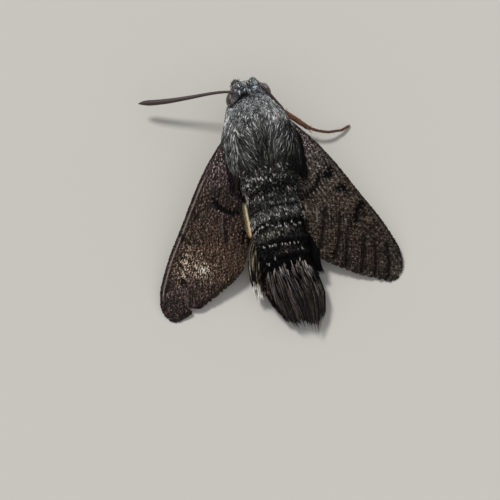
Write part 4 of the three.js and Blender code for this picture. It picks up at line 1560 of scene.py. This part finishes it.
def add_membrane(wing, side, name):
    """The wing's thin plate, closed all round."""
    rows, half = 150, 30
    t = np.linspace(0, 1, rows)
    end = wing["end"] - 0.25
    u = wing["start"] + (end - wing["start"]) * t * (1.5 - 0.5 * t)
    share = (1 - np.cos(np.linspace(0, np.pi, half))) / 2
    front = wing["front"](u) + 0.03
    rear = shown_rear(wing, side, u) - ease(u, wing["end"] - 1.4, wing["end"]) * 0.1
    grid_u = np.repeat(u[:, None], half, 1)
    grid_v = front[:, None] + (rear - front)[:, None] * share
    thick = MEMBRANE / 2 * (1 - np.abs(2 * share - 1) ** 6)[None]

    def around(upper, lower):
        """Rows of values that run over the upper face and back under the lower one."""
        rings = np.concatenate([upper, lower[:, ::-1][:, 1:-1]], 1)
        return rings[:, ::-1] if side == LEFT else rings

    def with_ends(rings):
        """A value for each point of the closed tube."""
        return np.concatenate([rings.reshape(-1, rings.shape[-1]), rings[0, :1], rings[-1, :1]])

    plates = [wing_place(wing, side, grid_u, grid_v, lift) for lift in (thick, -thick)]
    points, faces = closed_tube(around(*plates))
    flat = grid_u.ravel(), grid_v.ravel()
    tones = [wing_tones(wing, *flat, side, upper).reshape(rows, half, 3) for upper in (True, False)]
    bake = [wing_map(wing, *flat, upper).reshape(rows, half, 2) for upper in (True, False)]
    tones, bake = with_ends(around(*tones)) * MEMBRANE_SHADE, with_ends(around(*bake))
    make_piece(f"{name}_membrane", points, faces, LOOKS["membrane"], [name], tones, bake)


def wing_scale_part(wing, side, upper, steps):
    """Scales in staggered rows over one face of a wing, tips towards its outer edge."""
    step_u, step_v = steps
    u = np.arange(wing["start"] + 0.1, wing["end"] - 0.25, step_u)
    v = np.arange(-2.3, 6.3, step_v)
    row, column = np.meshgrid(np.arange(len(u)), np.arange(len(v)), indexing="ij")
    place_u = (u[row] + rng.uniform(-0.3, 0.3, row.shape) * step_u).ravel()
    place_v = (v[column] + (row % 2) * step_v / 2 + rng.uniform(-0.25, 0.25, row.shape) * step_v).ravel()
    inside = (place_v > wing["front"](place_u) + 0.02) & (place_v < shown_rear(wing, side, place_u) - 0.02)
    place_u, place_v = place_u[inside], place_v[inside]
    count = len(place_u)
    face = 1 if upper else -1
    tiny = 0.08
    here, ahead, beside = [
        wing_place(wing, side, place_u + on_u, place_v + on_v, face * MEMBRANE * 0.45)
        for on_u, on_v in ((0, 0), (tiny, 0), (0, tiny))
    ]
    ups = unit(np.cross(ahead - here, beside - here)) * side * face
    fan = np.arctan2(place_v + 0.8, place_u + 6)
    turn = fan * 0.9 + rng.normal(0, 0.13, count)
    ways = unit(ahead - here) * np.cos(turn)[:, None] + unit(beside - here) * np.sin(turn)[:, None]
    ways = across_normal(ways, ups)
    if wing is FOREWING and upper:
        tones = forewing_tones(place_u, place_v, side, flecks=True)
    else:
        uneven = rng.normal(-0.1, 0.4, count)
        if wing is HINDWING and upper:
            uneven = np.where(on_sliver(place_u, side), 0.3 * np.abs(uneven), uneven)
        tones = wing_tones(wing, place_u, place_v, side, upper) * np.exp(uneven)[:, None]
    long = rng.uniform(0.2, 0.3, count)
    broad = rng.uniform(0.085, 0.13, count)
    roots = wing_map(wing, place_u, place_v, upper)
    return vanes(here, ways, ups, long, broad, tones, roots, rng.uniform(0.03, 0.06, count)[:, None])


def flecked(u, v, side, tones):
    """Pale scales strewn over the forewing, pinkish at its root and brown, with a painted glint of golden and
    white scales on the left's outer half.
    """
    size = len(u)
    flat = np.stack([u, v], -1)
    along = np.stack([u * 0.3, v - 0.4 * np.maximum(u - 10, 0)], -1)
    streak = ease(swell(along * np.array([0.7, 1.0]), 0.2, 71), -0.2, 0.6)
    clump = ease(swell(flat, 0.42, 75 + side), 0.0, 1.1)
    dash = ease(swell(along, 0.2, 79 + side), 0.2, 1.1)
    root = spot(u, v, (3.6, -0.2), (2.2, 0.9)) + spot(u, v, (5.8, 2.8), (1.2, 0.9))
    brown = np.tile(colour(124, 104, 91) if side == LEFT else colour(108, 94, 84), (size, 1))
    tint = mix(brown, colour(198, 180, 176), np.clip(root, 0, 1))
    chance = 0.45 * dash * clump + 0.12 * clump + 0.02 + 0.3 * root * clump
    if side == LEFT:
        # Painted glint: golden and white scales, with darker ones between them, where light glints off the
        # left forewing.
        bright = spot(u, v, (15.9, 1.6), (1.2, 1.6)) + 0.8 * spot(u, v, (15.9, -0.4), (2.6, 0.8))
        bright = np.clip(bright, 0, 1)
        tint = mix(tint, colour(212, 190, 164), bright)
        core = spot(u, v, (15.7, 1.7), (0.55, 0.45))
        tint = mix(tint, colour(232, 222, 210), core)
        chance = chance * (1 - bright) + 0.9 * bright * streak + 0.3 * core
        tones = tones * (1 - 0.5 * bright)[:, None]
    pale = rng.uniform(size=size) < chance
    strength = np.exp(rng.normal(-0.25, 0.4, size))
    return np.where(pale[:, None], tint * strength[:, None], tones)


def fringe_part(wing, side):
    """Narrow scales that stand out from the wing's rear and outer edge."""
    count = wing["fringe"]
    u = np.linspace(wing["start"] + 2, wing["end"] - 0.08, count) + rng.uniform(-0.01, 0.01, count)
    edge = shown_rear(wing, side, u)
    span = np.maximum(wing["rear"](u) - edge - TEAR["depth"] * torn(wing, side, u), 0.05) + 0.12
    if wing is FOREWING:
        span = span * (1 - 0.3 * ease(swell(np.stack([u, 0 * u], -1), 0.4, 91 + side), 0.0, 1.0))
    if side == LEFT and wing is FOREWING:
        span = span * (1 - 0.8 * torn(wing, side, u)) * (1 - 0.6 * spot(u, 0 * u, (9.2, 0), (1.8, 1)))
    lean = 0.35 + 1.1 * ease(u, wing["end"] - 2.0, wing["end"])
    ups = np.tile(wing_axes(side)[2], (count, 1))
    base = wing_tones(wing, u, edge - 0.3, side)
    base = mix(base, colour(60, 50, 45), 0.3 * (wing is FOREWING))
    parts = []
    for layer in range(2):
        start_v = edge - 0.12 - 0.1 * layer
        reach = span * rng.uniform(0.75, 1.0, count)
        lift = rng.uniform(-0.02, 0.03, count)
        spines = []
        for share in (0, 1 / 3, 2 / 3, 1):
            out_u = np.minimum(u + lean * reach * share * 0.6, wing["end"] + 0.05)
            spines.append(wing_place(wing, side, out_u, start_v + reach * share, lift))
        tones = strand_tones(base, count, 0.25, (0.5, 1.0), (1.2, 1.9), (0.7, 1, 1, 1.1))
        if wing is HINDWING:
            even = base[:, None] * np.ones((1, 4, 1))
            tones = np.where(on_sliver(u, side)[:, None, None], even, tones)
        widths = rng.uniform(0.07, 0.13, count)
        places = wing_map(wing, u, edge, True)
        parts.append(tufts(np.stack(spines, 1), ups, widths, tones, places, thickness=0.2))
    return join(parts)


def add_wings():
    for side, side_name in SIDES:
        for wing in (FOREWING, HINDWING):
            name = f"{wing['kind']}_{side_name}"
            add_membrane(wing, side, name)
            spacings = ((True, wing["steps"]), (False, LOWER_STEPS))
            parts = [wing_scale_part(wing, side, upper, steps) for upper, steps in spacings]
            parts.append(fringe_part(wing, side))
            add_coat(f"{name}_scales", parts, LOOKS["wing"])


# ---- Legs ----

# Hip, knee, ankle and the bends of the foot, each with x towards the leg's own side, as in the CAD.
LEGS = {
    "foreleg_left": [
        (1.0, 2.6, 1.5), (2.5, 1.0, 2.2), (1.95, 0.2, 0.8),
        (1.8, -0.5, 0.32), (1.35, -1.9, 0.2),
    ],
    "foreleg_right": [
        (1.0, 2.6, 1.5), (2.5, 1.0, 2.2), (1.95, 0.1, 0.8),
        (1.75, -0.6, 0.32), (1.2, -1.8, 0.2),
    ],
    "midleg_left": [
        (1.4, 4, 1.3), (3.3, 2.6, 2.4), (4.7, 5.6, 1.05),
        (5.1, 6.6, 0.4), (5.7, 7.9, 0.2), (6.3, 9.4, 0.18),
    ],
    "midleg_right": [
        (1.4, 4, 1.3), (3.4, 1.18, 2.75), (5.82, 3.4, 1.75),
        (7.15, 4.05, 1.4), (8.4, 4.35, 1.05), (9.55, 4.38, 0.6), (10.7, 4.05, 0.2),
    ],
    "hindleg_left": [
        (1.3, 6.6, 1.35), (3.0, 7.7, 2.0), (4.3, 11.5, 1.0),
        (4.6, 12.7, 0.38), (4.9, 14, 0.2), (5.3, 15.6, 0.18),
    ],
    "hindleg_right": [
        (1.3, 6.6, 1.35), (3.0, 7.7, 2.0), (4.2, 11.5, 1.0),
        (4.5, 12.7, 0.38), (4.75, 14, 0.2), (5.0, 15.6, 0.18),
    ],
}
FEMUR_RADII = [0.24, 0.28, 0.2]
TIBIA_RADII = np.array([0.19, 0.23, 0.19])
FOOT_RADII = [0.15, 0.14, 0.12]


def tinted_tube(rings, tone):
    points, faces = closed_tube(rings)
    return [points, faces, np.tile(tone, (len(points), 1)), tube_map(*rings.shape[:2])]


def leg_hairs(path, radii, count, lengths, tone, lean=0.9):
    """Scales along a limb that lie back towards its end."""
    line = path_through(path)
    share = rng.uniform(0.02, 0.97, count)
    along = unit(line(np.minimum(share + 0.02, 1)) - line(share - 0.02))
    radius = evenly_through(radii)(share)
    side = unit(np.cross(along, [0.05, 0.1, 1.0]))
    turn = rng.uniform(0, 2 * np.pi, count)
    out = side * np.cos(turn)[:, None] + np.cross(side, along) * np.sin(turn)[:, None]
    root = line(share) + out * (radius * 0.9)[:, None]
    long = rng.uniform(*lengths, count)
    way = unit(along * lean + out * (1 - lean))
    spines = straight(root, way, long)
    tones = strand_tones(np.tile(tone, (count, 1)), count, 0.3, (0.5, 1.0), (1.2, 2.0), (0.6, 0.9, 1, 1.1))
    place = np.stack([turn / (2 * np.pi) * 0.99, share], -1)
    return tufts(spines, out, rng.uniform(0.06, 0.1, count), tones, place)


def foot_swellings(share):
    """Five joints, each a little wider at its far end."""
    return 0.78 + 0.32 * ((share * 5) % 1) ** 1.5


def add_legs():
    brown = colour(104, 66, 48)
    for name, places in LEGS.items():
        side = LEFT if name.endswith("left") else RIGHT
        hip, knee, ankle, *foot = np.array(places, float) * [side, 1, 1]
        femur = [hip, (hip + knee) / 2, knee]
        tibia = [knee, (knee + ankle) / 2, ankle]
        toes = [ankle, *foot]
        shin = TIBIA_RADII * (1.25 if name == "midleg_right" else 1)
        parts = [
            tinted_tube(path_tube(femur, FEMUR_RADII, 12, 16), brown),
            tinted_tube(path_tube(tibia, shin, 12, 18), brown),
            tinted_tube(path_tube(toes, FOOT_RADII, 12, 60, foot_swellings), colour(96, 60, 48)),
            leg_hairs(femur, FEMUR_RADII, 360, (0.35, 0.8), colour(150, 144, 136), 0.8),
            leg_hairs(tibia, shin, 360, (0.2, 0.34), colour(116, 82, 62)),
            leg_hairs(toes, FOOT_RADII, 420, (0.1, 0.2), colour(98, 62, 48)),
        ]
        parts += spurs_and_claws(ankle, foot, brown)
        limb = [f"{name}_{part}" for part in ("femur", "tibia", "foot")]
        add_coat(f"{name}_limb", parts, LOOKS["leg"], limb)


def spurs_and_claws(ankle, foot, tone):
    """Two pale spurs at the ankle and two hooked claws at the toe."""
    along = unit(foot[0] - ankle)
    side = unit(np.cross(along, [0, 0, 1.0]))
    parts = []
    for way, long in ((side, 0.85), (-side, 0.6)):
        tip = ankle + unit(along * 1.1 + way * 0.75 - np.array([0, 0, 0.1])) * long
        tip[2] = max(tip[2], 0.12)
        rings = path_tube([ankle, (ankle + tip) / 2 + way * 0.04, tip], [0.09, 0.08, 0.02], 8, 10)
        parts.append(tinted_tube(rings, colour(176, 148, 112)))
    toe = foot[-1]
    ahead = unit(foot[-1] - foot[-2])
    side = unit(np.cross(ahead, [0, 0, 1.0]))
    for turn in (-1, 1):
        bend = toe + ahead * 0.12 + side * turn * 0.08
        point = toe + ahead * 0.2 + side * turn * 0.13 - [0, 0, 0.1]
        parts.append(tinted_tube(path_tube([toe, bend, point], [0.05, 0.04, 0.012], 8, 8), tone * 0.4))
    return parts


# ---- Stage ----

# The camera looks down from almost straight above, at a place beside the moth's left flank.
CAMERA_TARGET = np.array([3.48, 15.56, 2.38])
CAMERA_DISTANCE = 280.0
CAMERA_TILT_LEFT_DEG, CAMERA_TILT_BACK_DEG, CAMERA_ROLL_DEG = 7, 2, 12
CAMERA_LENS = 181.44


def placed(right, up, back, place):
    """The matrix of a camera or lamp that looks away from back."""
    return Matrix([(right[k], up[k], back[k], place[k]) for k in range(3)] + [(0, 0, 0, 1)])


def add_camera():
    tilts = (CAMERA_TILT_LEFT_DEG, CAMERA_TILT_BACK_DEG)
    back = unit(np.array([*[math.tan(math.radians(tilt)) for tilt in tilts], 1]))
    right = unit(np.cross(-back, [0, -1, 0]))
    up = np.cross(back, right)
    roll = math.radians(CAMERA_ROLL_DEG)
    right, up = right * math.cos(roll) - up * math.sin(roll), up * math.cos(roll) + right * math.sin(roll)
    place = (CAMERA_TARGET + NECK + back * CAMERA_DISTANCE) * MM
    camera = bpy.data.cameras.new("camera")
    camera.sensor_width = 36
    camera.lens = CAMERA_LENS
    camera.clip_start = 0.01
    holder = bpy.data.objects.new("camera", camera)
    holder.matrix_world = placed(right, up, back, place)
    bpy.context.scene.collection.objects.link(holder)
    bpy.context.scene.camera = holder


def add_floor():
    mesh = bpy.data.meshes.new("floor")
    reach = 2.0
    corners = [(-reach, -reach, 0), (reach, -reach, 0), (reach, reach, 0), (-reach, reach, 0)]
    mesh.from_pydata(corners, [], [(0, 1, 2, 3)])
    floor = bpy.data.objects.new("floor", mesh)
    bpy.context.scene.collection.objects.link(floor)
    look, _, _, shader = principled("floor", 0.9, 0.1)
    shader.inputs["Base Color"].default_value = (*colour(196, 193, 186), 1)
    floor.data.materials.append(look)


def add_lights():
    sun = bpy.data.lights.new("sun", "SUN")
    sun.energy = 2.4
    sun.angle = math.radians(11)
    holder = bpy.data.objects.new("sun", sun)
    way = unit(np.array([0.42, -0.85, 1.0]))
    side = unit(np.cross([0, 0, 1.0], way))
    up = np.cross(way, side)
    holder.matrix_world = placed(side, up, way, np.zeros(3))
    bpy.context.scene.collection.objects.link(holder)
    world = bpy.data.worlds.new("studio")
    world.use_nodes = True
    world.node_tree.nodes["Background"].inputs["Color"].default_value = (0.97, 0.985, 1.0, 1)
    world.node_tree.nodes["Background"].inputs["Strength"].default_value = 0.5
    bpy.context.scene.world = world


add_body_skin()
add_thorax_coat()
add_rear_thorax_tufts()
add_abdomen_coat()
add_tail_hair()
add_flank_tufts()
add_eyes()
add_head_coat()
add_proboscis()
add_antennae()
add_wings()
add_legs()
add_camera()
add_floor()
add_lights()
bpy.context.scene.view_settings.view_transform = "Standard"
